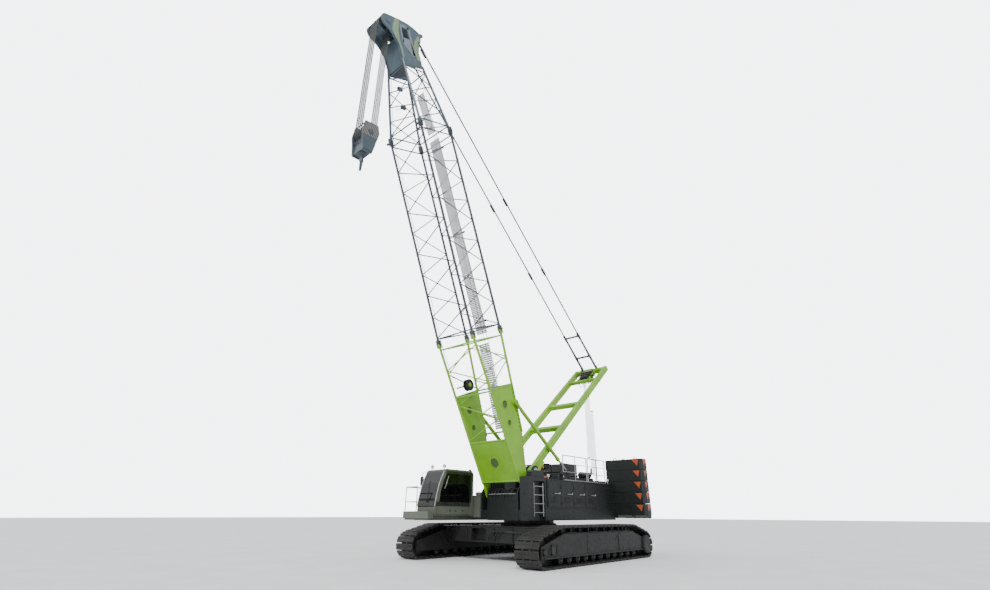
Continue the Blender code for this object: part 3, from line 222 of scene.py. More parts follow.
def rgba(colour: Point) -> tuple[float, float, float, float]:
    """A linear colour from 0 to 255 display values."""
    linear = [((c / 255 + 0.055) / 1.055) ** 2.4 if c > 10 else c / 255 / 12.92 for c in colour]
    return (linear[0], linear[1], linear[2], 1.0)


@dataclass(frozen=True)
class Paint:
    """Sprayed paint over steel with dust, streaks and worn edges."""

    name: str
    colour: tuple[int, int, int]
    slot: Slot
    dust: tuple[int, int, int] = (96, 92, 80)
    wear: tuple[int, int, int] = (120, 118, 112)
    roughness: float = 0.42
    dirt: float = 0.35
    metallic: float = 0.0

    def build(self) -> bpy.types.Material:
        """Makes the material.

        Returns:
            The finish, ready to be worn by a piece.
        """
        tree = NodeTree(self.name)
        base = rgba(self.colour)
        deep = tuple(c * 0.72 for c in base[:3]) + (1.0,)
        tone = tree.mix(tree.ramp(tree.noise(0.9, 5), 0.35, 0.65), base, deep)
        streaks = tree.ramp(tree.noise(5.0, 6, (1.6, 1.6, 0.16)), 0.48, 0.72, 0.0, self.dirt)
        spots = tree.ramp(tree.noise(16.0, 8), 0.52, 0.74, 0.0, self.dirt)
        dusty = tree.mix(streaks, tone, rgba(self.dust))
        dusty = tree.mix(spots, dusty, rgba(self.dust))
        normal, edge = tree.edges(0.008)
        chipped = tree.product(edge, tree.ramp(tree.noise(22.0, 6), 0.44, 0.60))
        tree.set(Base_Color=tree.mix(chipped, dusty, rgba(self.wear)), Metallic=self.metallic,
                 Roughness=tree.ramp(tree.noise(8.0, 5), 0.3, 0.7, self.roughness - 0.08,
                                     self.roughness + 0.16),
                 Coat_Weight=0.15, Coat_Roughness=0.25)
        tree.bump(tree.noise(90.0, 4), 0.12, 0.002, normal)
        return tree.material


@dataclass(frozen=True)
class Steel:
    """Bare, cast or galvanised steel with grime and brighter rubbed places."""

    name: str
    colour: tuple[int, int, int]
    slot: Slot
    rubbed: tuple[int, int, int] = (150, 148, 142)
    grime: tuple[int, int, int] = (52, 44, 36)
    roughness: float = 0.5
    metallic: float = 0.75
    grain: float = 60.0

    def build(self) -> bpy.types.Material:
        """Makes the material.

        Returns:
            The finish, ready to be worn by a piece.
        """
        tree = NodeTree(self.name)
        mottled = tree.mix(tree.ramp(tree.noise(7.0, 8), 0.38, 0.68, 0.0, 0.75),
                           rgba(self.colour), rgba(self.grime))
        normal, edge = tree.edges(0.01)
        bright = tree.product(edge, tree.ramp(tree.noise(12.0, 5), 0.36, 0.56))
        tree.set(Base_Color=tree.mix(bright, mottled, rgba(self.rubbed)), Metallic=self.metallic,
                 Roughness=tree.ramp(tree.noise(18.0, 6), 0.3, 0.7, self.roughness - 0.12,
                                     self.roughness + 0.18))
        tree.bump(tree.noise(self.grain, 8), 0.35, 0.004, normal)
        return tree.material


@dataclass(frozen=True)
class Rope:
    """Wire rope: strands laid round it as slanting ridges."""

    name: str
    colour: tuple[int, int, int]
    slot: Slot = Slot.GALVANISED
    strands: float = 9.0

    def build(self) -> bpy.types.Material:
        """Makes the material.

        Returns:
            The finish, ready to be worn by a piece.
        """
        tree = NodeTree(self.name)
        mapped = tree.node("ShaderNodeMapping", {"Vector": tree.coords,
                                                 "Rotation": (0.5, 0.6, 0.3)})
        lay = tree.node("ShaderNodeTexWave", {"Vector": mapped.outputs[0], "Scale": self.strands,
                                              "Distortion": 0.6}, bands_direction="Z")
        dark = tuple(c * 0.35 for c in rgba(self.colour)[:3]) + (1.0,)
        colour = tree.mix(lay.outputs["Fac"], dark, rgba(self.colour))
        worn = tree.ramp(tree.noise(6.0, 5), 0.4, 0.7, 0.0, 0.5)
        tree.set(Base_Color=tree.mix(worn, colour, rgba((92, 90, 84))), Metallic=0.35,
                 Roughness=tree.ramp(tree.noise(20.0, 3), 0.3, 0.7, 0.4, 0.62))
        tree.bump(lay.outputs["Fac"], 0.6, 0.003)
        return tree.material


@dataclass(frozen=True)
class Glazing:
    """Tinted glass with a film of dust."""

    name: str
    colour: tuple[int, int, int]
    slot: Slot = Slot.GLASS
    clear: float = 0.22

    def build(self) -> bpy.types.Material:
        """Makes the material.

        Returns:
            The finish, ready to be worn by a piece.
        """
        tree = NodeTree(self.name)
        film = tree.ramp(tree.noise(3.0, 6), 0.42, 0.75, 0.0, 0.05)
        tree.set(Base_Color=tree.mix(film, rgba(self.colour), rgba((120, 122, 116))),
                 Roughness=tree.ramp(tree.noise(5.0, 6), 0.4, 0.75, 0.04, 0.10),
                 IOR=1.45, Specular_IOR_Level=0.3, Transmission_Weight=self.clear)
        return tree.material


@dataclass(frozen=True)
class Cloth:
    """Woven seat cloth."""

    name: str
    colour: tuple[int, int, int]
    slot: Slot = Slot.SEAT

    def build(self) -> bpy.types.Material:
        """Makes the material.

        Returns:
            The finish, ready to be worn by a piece.
        """
        tree = NodeTree(self.name)
        waves = [tree.node("ShaderNodeTexWave", {"Vector": tree.coords, "Scale": 90.0,
                                                 "Distortion": 0.4}, bands_direction=way)
                 for way in ("Y", "Z")]
        weave = tree.product(waves[0].outputs["Fac"], waves[1].outputs["Fac"])
        light = tuple(min(1.0, c * 2.6) for c in rgba(self.colour)[:3]) + (1.0,)
        tree.set(Base_Color=tree.mix(weave, rgba(self.colour), light), Sheen_Weight=0.35,
                 Roughness=tree.ramp(tree.noise(30.0, 4), 0.3, 0.7, 0.78, 0.95))
        tree.bump(weave, 0.5, 0.0015)
        return tree.material


@dataclass(frozen=True)
class Striped:
    """Faded warning stripes, slanting across a steel plate."""

    name: str
    colour: tuple[int, int, int]
    stripe: tuple[int, int, int]
    slot: Slot = Slot.BLOCK
    pitch: float = 0.19

    def build(self) -> bpy.types.Material:
        """Makes the material.

        Returns:
            The finish, ready to be worn by a piece.
        """
        tree = NodeTree(self.name)
        parts = tree.node("ShaderNodeSeparateXYZ", {"Vector": tree.coords})
        steep = tree.product(parts.outputs["X"], 1.35)
        slant = tree.node("ShaderNodeMath", {0: steep, 1: parts.outputs["Z"]},
                          operation="SUBTRACT")
        cycle = tree.node("ShaderNodeMath", {0: slant.outputs[0], 1: self.pitch},
                          operation="FLOORED_MODULO")
        band = tree.ramp(cycle.outputs[0], self.pitch * 0.48, self.pitch * 0.52)
        worn = tree.product(band, tree.ramp(tree.noise(9.0, 7), 0.30, 0.42))
        colour = tree.mix(worn, rgba(self.colour), rgba(self.stripe))
        dirty = tree.ramp(tree.noise(14.0, 7), 0.5, 0.75, 0.0, 0.45)
        normal, _ = tree.edges(0.01)
        tree.set(Base_Color=tree.mix(dirty, colour, rgba((66, 64, 60))), Metallic=0.1,
                 Roughness=tree.ramp(tree.noise(12.0, 5), 0.3, 0.7, 0.42, 0.66))
        tree.bump(tree.noise(70.0, 4), 0.15, 0.002, normal)
        return tree.material


class Coat(Enum):
    """Every finish on the crane."""

    # Painted shade: a dark lime that stands for the shade inside the holes in the boom's lime plates.
    LIME_DEEP = Paint("lime_shadow_paint", (66, 92, 34), Slot.LIME, roughness=0.5, dirt=0.3)
    LIME = Paint("lime_gloss", (128, 186, 26), Slot.LIME, dust=(110, 120, 70),
                 wear=(150, 160, 120), roughness=0.34, dirt=0.16)
    HEAD_GREEN = Paint("faded_head_green", (126, 152, 116), Slot.BOOM, dirt=0.25)
    HEAD_PANEL = Paint("head_light_grey", (118, 130, 138), Slot.BOOM, dirt=0.3)
    BOOM_GREY = Paint("boom_slate_grey", (58, 65, 74), Slot.BOOM, roughness=0.48, dirt=0.25)
    HEAD_BLUE = Paint("head_blue_grey", (72, 92, 104), Slot.BOOM, roughness=0.5, dirt=0.3)
    UPPER = Paint("deep_green_black", (6, 17, 13), Slot.UPPER, dust=(20, 30, 24),
                  wear=(36, 44, 40), roughness=0.55, dirt=0.12)
    SKIRT = Paint("weight_base_grey", (84, 92, 80), Slot.UPPER, dirt=0.5)
    UNDER = Paint("undercarriage_charcoal", (16, 16, 15), Slot.UNDER, dust=(34, 32, 28),
                  wear=(50, 48, 44), roughness=0.72, dirt=0.28)
    CAB = Paint("cab_khaki_grey", (92, 98, 86), Slot.CAB, roughness=0.4, dirt=0.3)
    CAB_DARK = Paint("cab_dark_panel", (30, 38, 34), Slot.CAB, roughness=0.35, dirt=0.2)
    MARK = Paint("signal_orange", (196, 80, 36), Slot.UPPER, dust=(120, 80, 56), dirt=0.25)
    BLOCK = Paint("block_blue_grey", (62, 78, 87), Slot.BLOCK, roughness=0.5, dirt=0.4)
    PLASTIC = Paint("black_moulding", (20, 21, 21), Slot.CAB, dust=(52, 52, 48),
                    wear=(60, 60, 58), roughness=0.5, dirt=0.3)
    LENS = Paint("lamp_lens", (214, 218, 214), Slot.CAB, dust=(170, 168, 156),
                 wear=(200, 200, 196), roughness=0.2, dirt=0.2)
    TRACK = Steel("track_cast_steel", (44, 43, 41), Slot.TRACK, rubbed=(128, 126, 120),
                  grime=(22, 21, 19), roughness=0.54, metallic=0.35)
    SHEAVE = Steel("sheave_greased_steel", (60, 62, 62), Slot.SHEAVE, grime=(24, 24, 23))
    DARK_STEEL = Steel("dark_fittings", (46, 47, 46), Slot.SHEAVE, grime=(26, 25, 23),
                       rubbed=(110, 110, 106), metallic=0.5)
    GALVANISED = Steel("galvanised_rail", (168, 170, 170), Slot.GALVANISED,
                       grime=(118, 118, 114), rubbed=(205, 206, 206), roughness=0.42,
                       metallic=0.6, grain=30.0)
    GRATING = Steel("galvanised_grating", (176, 177, 180), Slot.GALVANISED,
                    grime=(130, 130, 132), rubbed=(205, 206, 206), roughness=0.5, metallic=0.35)
    ROPE = Rope("bright_wire_rope", (92, 98, 96))
    ROPE_DARK = Rope("greased_wire_rope", (48, 51, 50), Slot.SHEAVE)
    GLASS = Glazing("dark_tinted_glass", (6, 9, 8))
    SEAT = Cloth("seat_weave", (34, 35, 38))
    STRIPES = Striped("faded_stripes", (62, 76, 88), (132, 124, 110))

    def material(self) -> bpy.types.Material:
        """The finish's one shared material."""
        found = bpy.data.materials.get(self.value.name)
        return found or self.value.build()


# ------------------------------------------------------------------ mesh making
class Shape:
    """Solids gathered into one mesh, in a sub-assembly's own frame."""

    def __init__(self, place: Matrix) -> None:
        """Starts an empty shape.

        Args:
            place: the frame that its points are given in.
        """
        self.bm = bmesh.new()
        self.place = place

    def loft(self, rings: Sequence[Sequence[Point]], closed: bool = False) -> "Shape":
        """A solid through rings of as many points each.

        Args:
            rings: the rings, in order.
            closed: whether the last ring joins the first, as on a torus.

        Returns:
            The shape.
        """
        made = [[self.bm.verts.new(point) for point in ring] for ring in rings]
        pairs = list(zip(made, made[1:])) + ([(made[-1], made[0])] if closed else [])
        for lower, upper in pairs:
            for i, corner in enumerate(lower):
                j = (i + 1) % len(lower)
                self.bm.faces.new((corner, lower[j], upper[j], upper[i]))
        if not closed:
            self.bm.faces.new(made[0])
            self.bm.faces.new(made[-1])
        return self

    def prism(self, outline: Outline, low: float, high: float, axis: str = "y") -> "Shape":
        """An outline carried along an axis.

        Args:
            outline: (x, z) points for y, (y, z) for x and (x, y) for z.
            low: where it starts.
            high: where it ends.
            axis: the axis that it is carried along.

        Returns:
            The shape.
        """
        def ring(level: float) -> list[Point]:
            """The outline at one level."""
            if axis == "y":
                return [(u, level, v) for u, v in outline]
            return [(level, u, v) if axis == "x" else (u, v, level) for u, v in outline]
        return self.loft([ring(low), ring(high)])

    def box(self, low: Point, high: Point) -> "Shape":
        """A block between two corners."""
        (x, y, z), (u, v, w) = low, high
        return self.prism([(x, y), (u, y), (u, v), (x, v)], z, w, "z")

    def turned(self, profile: Outline, centre: Point, axis: str = "y",
               segments: int = 32) -> "Shape":
        """A turned solid of (radius, offset) pairs, closed at both ends.

        Args:
            profile: radius and offset along the axis, in order.
            centre: where the offsets count from.
            axis: the axis it is turned about.
            segments: sides of each ring.

        Returns:
            The shape.
        """
        rings = []
        for radius, offset in profile:
            ring = []
            for i in range(segments):
                u = radius * math.cos(math.tau * i / segments)
                v = radius * math.sin(math.tau * i / segments)
                place = {"x": (offset, u, v), "y": (u, offset, v), "z": (u, v, offset)}[axis]
                ring.append(Vector(centre) + Vector(place))
            rings.append(ring)
        return self.loft(rings)

    def sweep(self, points: Sequence[Point], radius: float, sides: int = 8,
              closed: bool = False) -> "Shape":
        """A round bar or rope along a path.

        Args:
            points: the path.
            radius: the bar's radius.
            sides: sides of its section.
            closed: whether the path is a closed loop.

        Returns:
            The shape.
        """
        path = [Vector(p) for p in points]
        rings = []
        up = Vector((0.0, 1.0, 0.0))
        for i, centre in enumerate(path):
            before = path[i - 1] if i or closed else path[0]
            after = path[(i + 1) % len(path)] if i + 1 < len(path) or closed else path[-1]
            ahead = (after - before).normalized()
            if abs(ahead.dot(up)) > 0.95:
                up = Vector((0.0, 0.0, 1.0)) if abs(ahead.z) < 0.8 else Vector((1.0, 0.0, 0.0))
            side = ahead.cross(up).normalized()
            up = side.cross(ahead).normalized()
            rings.append([centre + (side * math.cos(t) + up * math.sin(t)) * radius
                          for t in turns(sides)])
        return self.loft(rings, closed)

    def bolts(self, centres: Iterable[Point], axis: str, radius: float, height: float) -> "Shape":
        """Hexagon bolt heads on washers.

        Args:
            centres: the foot of each head.
            axis: the way that they stand.
            radius: across the corners, halved.
            height: how high they stand, below zero for the other way.

        Returns:
            The shape.
        """
        for centre in centres:
            self.turned([(radius * 1.35, 0.0), (radius * 1.35, height * 0.2)], centre, axis, 12)
            self.turned([(radius, height * 0.2), (radius, height * 0.85),
                         (radius * 0.7, height)], centre, axis, 6)
        return self

    def piece(self, name: str, coat: Coat, body: str, bevel: float = 0.0,
              replaces: Sequence[str] = (), smooth: float = 32.0) -> bpy.types.Object:
        """Closes the shape as one named piece that rides on a body.

        Args:
            name: the piece's name.
            coat: its finish.
            body: the body it rides on.
            bevel: width of its rounded edges, or 0 for none.
            replaces: the frame's nodes that it stands for.
            smooth: edges flatter than this many degrees are shaded smooth.

        Returns:
            The piece.
        """
        bmesh.ops.recalc_face_normals(self.bm, faces=self.bm.faces)
        self.bm.transform(self.place)
        mesh = bpy.data.meshes.new(name)
        self.bm.to_mesh(mesh)
        self.bm.free()
        made = bpy.data.objects.new(name, mesh)
        bpy.context.scene.collection.objects.link(made)
        mesh.materials.append(coat.material())
        mesh.shade_smooth()
        mesh.set_sharp_from_angle(angle=math.radians(smooth))
        if bevel:
            step = made.modifiers.new("rounded_edges", "BEVEL")
            step.width = bevel
            step.segments = 2
            step.limit_method = "ANGLE"
            step.angle_limit = math.radians(smooth)
            step.harden_normals = True
        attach(made, getattr(body, "value", body))
        if replaces:
            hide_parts(*replaces)
        LOG.info("%s on %s, %d faces", name, getattr(body, "value", body), len(mesh.polygons))
        return made


def arc(centre: Point, radius: float, start: float, end: float, steps: int) -> Outline:
    """Points on a circle in a plane.

    Args:
        centre: the circle's middle.
        radius: its radius.
        start: first angle in degrees.
        end: last angle in degrees.
        steps: spans between the points.

    Returns:
        The points.
    """
    return [(centre[0] + radius * math.cos(math.radians(start + (end - start) * i / steps)),
             centre[1] + radius * math.sin(math.radians(start + (end - start) * i / steps)))
            for i in range(steps + 1)]


def turns(count: int) -> list[float]:
    """Angles evenly spaced round a circle, in radians."""
    return [math.tau * k / count for k in range(count)]


def frame_at(origin: Point, lean: float = 0.0) -> Matrix:
    """A frame at a point, its X axis leaned up from level by an angle in degrees."""
    return Matrix.Translation(origin) @ Matrix.Rotation(-math.radians(lean), 4, "Y")


def joint_at(name: str) -> Vector:
    """The place of one of the frame's joints.

    Args:
        name: the joint's name.

    Returns:
        Its place at rest, in metres.
    """
    for joint in frame["joints"]:
        if joint["name"] == name:
            return Vector(joint["pos_m"])
    raise ValueError(f"no joint named {name}")


# ------------------------------------------------------------------ undercarriage
@dataclass
class Crawler:
    """One crawler: shoes on their chain, rollers and the fittings on the frame's outer cheek."""

    side: int
    hand: str
    middle: float = 2.94
    shoe_width: float = 0.94
    shoe_count: int = 60
    wheel_x: float = 3.60
    wheel_radius: float = 0.50
    crests: tuple[float, float] = (2.55, -2.60)
    crest_radius: float = 0.30
    height: float = 1.26
    cheek: float = 0.371
    roller_count: int = 11
    roller_pitch: float = 0.52
    shoe_near: float = 0.05
    shoe_far: float = 0.87
    guide_inset: float = 0.094
    guide_half: float = 0.05
    guide_lugs: int = 9
    guide_lug_pitch: float = 0.575
    place: Matrix = field(default_factory=lambda: frame_at(joint_at("slew")))

    def belt(self, inset: float) -> Outline:
        """The line that the shoes run on, a given depth inside their treads.

        Args:
            inset: how far inside the treads the line runs.

        Returns:
            The closed line as (x, z) points.
        """
        wheel, crest = self.wheel_radius - inset, self.crest_radius - inset
        front, rear = (self.wheel_x, self.wheel_radius), (-self.wheel_x, self.wheel_radius)
        tops = [(x, self.height - self.crest_radius) for x in self.crests]

        def normal(near: Point, near_radius: float, far: Point, far_radius: float) -> float:
            """The way out from the belt between two circles, in degrees.

            Args:
                near: the first circle's middle.
                near_radius: its radius.
                far: the second circle's middle.
                far_radius: its radius.

            Returns:
                The angle of the tangent's normal.
            """
            slope = math.atan2(far[1] - near[1], far[0] - near[0])
            turn = math.acos((near_radius - far_radius) / math.dist(near, far))
            return math.degrees(slope - turn) % 360
        first = normal(front, wheel, tops[0], crest)
        second = normal(tops[1], crest, rear, wheel)
        return (arc(front, wheel, -90, first, 40) + arc(tops[0], crest, first, 90, 8)
                + arc(tops[1], crest, 90, second, 8) + arc(rear, wheel, second, 270, 40))

    @staticmethod
    def along(line: Outline, reach: float) -> Vector:
        """The point at a distance round a closed line.

        Args:
            line: the closed line.
            reach: the distance along it.

        Returns:
            The point, as (x, z).
        """
        spans = list(zip(line, line[1:] + line[:1]))
        reach %= sum(math.dist(a, b) for a, b in spans)
        for a, b in spans:
            length = math.dist(a, b)
            if reach <= length and length > 0:
                return Vector(a).lerp(Vector(b), reach / length)
            reach -= length
        return Vector(line[0])

    def shoes(self) -> bpy.types.Object:
        """The shoes: crowned pads with rounded ends, each with its link blocks.

        Returns:
            The finished piece.
        """
        line = self.belt(0.0)
        length = sum(math.dist(a, b) for a, b in zip(line, line[1:] + line[:1]))
        pitch = length / self.shoe_count
        pad = [(0.0, 0.034), (0.05, 0.010), (0.16, 0.0), (0.36, 0.0), (0.44, 0.014), (0.56, 0.014),
               (0.64, 0.0), (0.84, 0.0), (0.95, 0.010), (1.0, 0.034), (0.97, 0.066), (0.86, 0.078),
               (0.14, 0.078), (0.03, 0.066)]
        link = [(-0.12, 0.046), (1.12, 0.046), (1.12, 0.080), (0.94, 0.086), (0.06, 0.086),
                (-0.12, 0.080)]
        shape = Shape(self.place)
        half = self.shoe_width / 2
        y = self.side * self.middle
        for i in range(self.shoe_count):
            near = self.along(line, (i + self.shoe_near) * pitch)
            far = self.along(line, (i + self.shoe_far) * pitch)
            ahead = far - near
            inward = Vector((-ahead.y, ahead.x)).normalized()

            def ring(points: Outline, level: float, grow: float) -> list[Point]:
                """A section of the shoe at one level across the track.

                Args:
                    points: the section's outline.
                    level: how far across the track.
                    grow: the outline's scale.

                Returns:
                    The section's points.
                """
                made = []
                for share, depth in points:
                    share = 0.5 + (share - 0.5) * grow
                    depth = 0.036 + (depth - 0.036) * grow
                    spot = near + ahead * share + inward * depth
                    made.append((spot.x, y + level, spot.y))
                return made
            shape.loft([ring(pad, level * half, grow) for level, grow in
                        ((-1.0, 0.62), (-0.985, 0.84), (-0.95, 1.0), (0.95, 1.0), (0.985, 0.84),
                         (1.0, 0.62))])
            for low, high in ((-0.17, -0.11), (0.11, 0.17)):
                shape.loft([ring(link, low, 1.0), ring(link, high, 1.0)])
        return shape.piece(f"track_shoes_{self.hand}", Coat.TRACK, Body.UNDER,
                           replaces=[f"track_{self.hand}"], smooth=40)

    def rollers(self) -> bpy.types.Object:
        """Roller flanges and hub caps, proud of the frame on both sides.

        Returns:
            The finished piece.
        """
        shape = Shape(self.place)
        for i in range(self.roller_count):
            x = (i - (self.roller_count - 1) / 2) * self.roller_pitch
            for way in (-1, 1):
                y = self.side * self.middle
                rim = [(0.05, 0.23), (0.122, 0.24), (0.126, 0.27), (0.118, 0.30), (0.075, 0.315),
                       (0.07, 0.345), (0.045, 0.36)]
                shape.turned([(r, y + way * o) for r, o in rim], (x, 0, 0.221), segments=24)
                shape.box((x - 0.10, y + way * 0.29, 0.19), (x + 0.10, y + way * 0.33, 0.31))
        return shape.piece(f"roller_caps_{self.hand}", Coat.DARK_STEEL, Body.UNDER, 0.004)

    def fittings(self) -> bpy.types.Object:
        """Plates, bolt circles and marks on the outer cheek, and the final drive's cover.

        Returns:
            The finished piece.
        """
        shape = Shape(self.place)
        out = self.side
        y = out * (self.middle + self.cheek)

        def plate(outline: Outline, depth: float) -> None:
            """A plate welded on the cheek."""
            shape.prism(outline, *sorted((y - out * 0.01, y + out * depth)))
        plate([(-3.18, 0.36), (-1.30, 0.36), (-1.30, 0.92), (-1.55, 0.98), (-2.45, 0.98),
               (-3.18, 0.68)], 0.022)
        plate([(-1.22, 0.40), (0.98, 0.40), (0.98, 0.96), (-1.22, 0.96)], 0.010)
        plate([(-1.22, 0.72), (-1.06, 0.72), (-1.22, 0.86)], 0.03)
        for x0, x1, z0, z1 in ((2.86, 3.22, 0.40, 0.70), (3.32, 3.66, 0.41, 0.60)):
            rim = 0.045
            plate([(x0, z0), (x1, z0), (x1, z0 + rim), (x0, z0 + rim)], 0.03)
            plate([(x0, z1 - rim), (x1, z1 - rim), (x1, z1), (x0, z1)], 0.03)
            plate([(x0, z0), (x0 + rim, z0), (x0 + rim, z1), (x0, z1)], 0.03)
            plate([(x1 - rim, z0), (x1, z0), (x1, z1), (x1 - rim, z1)], 0.03)
        plate([(-3.6, 0.305), (3.6, 0.305), (3.6, 0.345), (-3.6, 0.345)], 0.035)
        z = self.wheel_radius
        cover = [(0.33, 0.0), (0.325, 0.06), (0.28, 0.085), (0.15, 0.098), (0.12, 0.105)]
        shape.turned([(r, y + out * o) for r, o in cover], (-self.wheel_x, 0, z), segments=36)
        ring = [(-self.wheel_x + 0.295 * math.cos(a), y + out * 0.076, z + 0.295 * math.sin(a))
                for a in turns(16)]
        shape.bolts(ring, "y", 0.016, out * 0.022)
        rows = [(x, y + out * 0.02, h) for x in (-3.1, -2.6, -2.1, -1.6, -1.38) for h in (0.42,)]
        rows += [(x, y + out * 0.008, h) for x in (-1.1, -0.4, 0.3, 0.9) for h in (0.46, 0.90)]
        shape.bolts(rows, "y", 0.02, out * 0.02)
        for x in (-1.2, 0.2, 1.6):
            shape.box((x, y - out * 0.60, 1.028), (x + 0.5, y - out * 0.03, 1.045))
        return shape.piece(f"frame_fittings_{self.hand}", Coat.UNDER, Body.UNDER, 0.004)

    def guide_plate(self) -> bpy.types.Object:
        """The middle web that carries the rollers and closes the view through the loop.

        Returns:
            The finished piece.
        """
        y = self.side * self.middle
        line = [p for i, p in enumerate(self.belt(self.guide_inset)) if i % 3 == 0]
        shape = Shape(self.place).prism(line, y - self.guide_half, y + self.guide_half)
        for k in range(self.guide_lugs):
            x = (k - (self.guide_lugs - 1) / 2) * self.guide_lug_pitch
            shape.prism([(x - 0.05, 0.98), (x + 0.05, 0.98), (x + 0.03, 1.155), (x - 0.03, 1.155)],
                        y - 0.20, y + 0.20)
        return shape.piece(f"track_guide_{self.hand}", Coat.UNDER, Body.UNDER, 0.004)

    def window_painted_shade(self) -> bpy.types.Object:
        """Painted shade: dark plates in the cheek's adjuster windows that stand for the shaded
        recesses seen through them.

        Returns:
            The finished piece.
        """
        shape = Shape(self.place)
        y = self.side * (self.middle + self.cheek)
        # Painted shade: a flat plate in black moulding fills each window in place of the shaded recess
        # behind it.
        for x0, x1, z0, z1 in ((2.90, 3.18, 0.44, 0.66), (3.36, 3.62, 0.45, 0.56)):
            shape.box((x0, y - 0.004, z0), (x1, y + 0.004, z1))
        return shape.piece(f"adjuster_window_painted_shade_{self.hand}", Coat.PLASTIC, Body.UNDER, 0.002)

    def build(self) -> None:
        """Makes the whole crawler."""
        self.shoes()
        self.rollers()
        self.fittings()
        self.window_painted_shade()
        self.guide_plate()


@dataclass
class CarBody:
    """Bolts, brackets and hoses on the undercarriage's centre."""

    ring_radius: float = 1.10
    ring_top: float = 1.23
    bolt_count: int = 40
    beam_front: float = 2.20
    place: Matrix = field(default_factory=lambda: frame_at(joint_at("slew")))

    def build(self) -> None:
        """Makes the bolted ring, the beam plates and the hoses."""
        shape = Shape(self.place)
        shape.bolts([(self.ring_radius * math.cos(a), self.ring_radius * math.sin(a),
                      self.ring_top) for a in turns(self.bolt_count)],
                    "z", 0.022, 0.04)
        for way in (-1, 1):
            x = way * self.beam_front
            for y in (-2.2, -1.4, 0.0, 0.9, 1.9):
                shape.prism([(x, 0.64), (x + way * 0.05, 0.70), (x + way * 0.05, 1.10),
                             (x, 1.14)], y, y + 0.04)
            shape.box((min(x - way * 0.9, x + way * 0.03), -2.5, 1.158),
                      (max(x - way * 0.9, x + way * 0.03), 2.5, 1.178))
            shape.bolts([(x + way * 0.001, y, z) for y in (-2.35, 2.35) for z in (0.75, 0.9, 1.05)],
                        "x", 0.024, way * 0.026)
        shape.piece("car_body_fittings", Coat.UNDER, Body.UNDER, 0.004)
        hoses = Shape(self.place)
        for k in range(4):
            y = -0.25 + k * 0.16
            hoses.sweep([(2.23, y, 0.70), (2.30, y + 0.04, 0.85), (2.29, y + 0.2, 1.0),
                         (2.24, y + 0.5, 1.05), (2.25, y + 1.0, 0.98), (2.23, y + 1.5, 1.0)],
                        0.018, 8)
        hoses.piece("travel_hoses", Coat.PLASTIC, Body.UNDER)


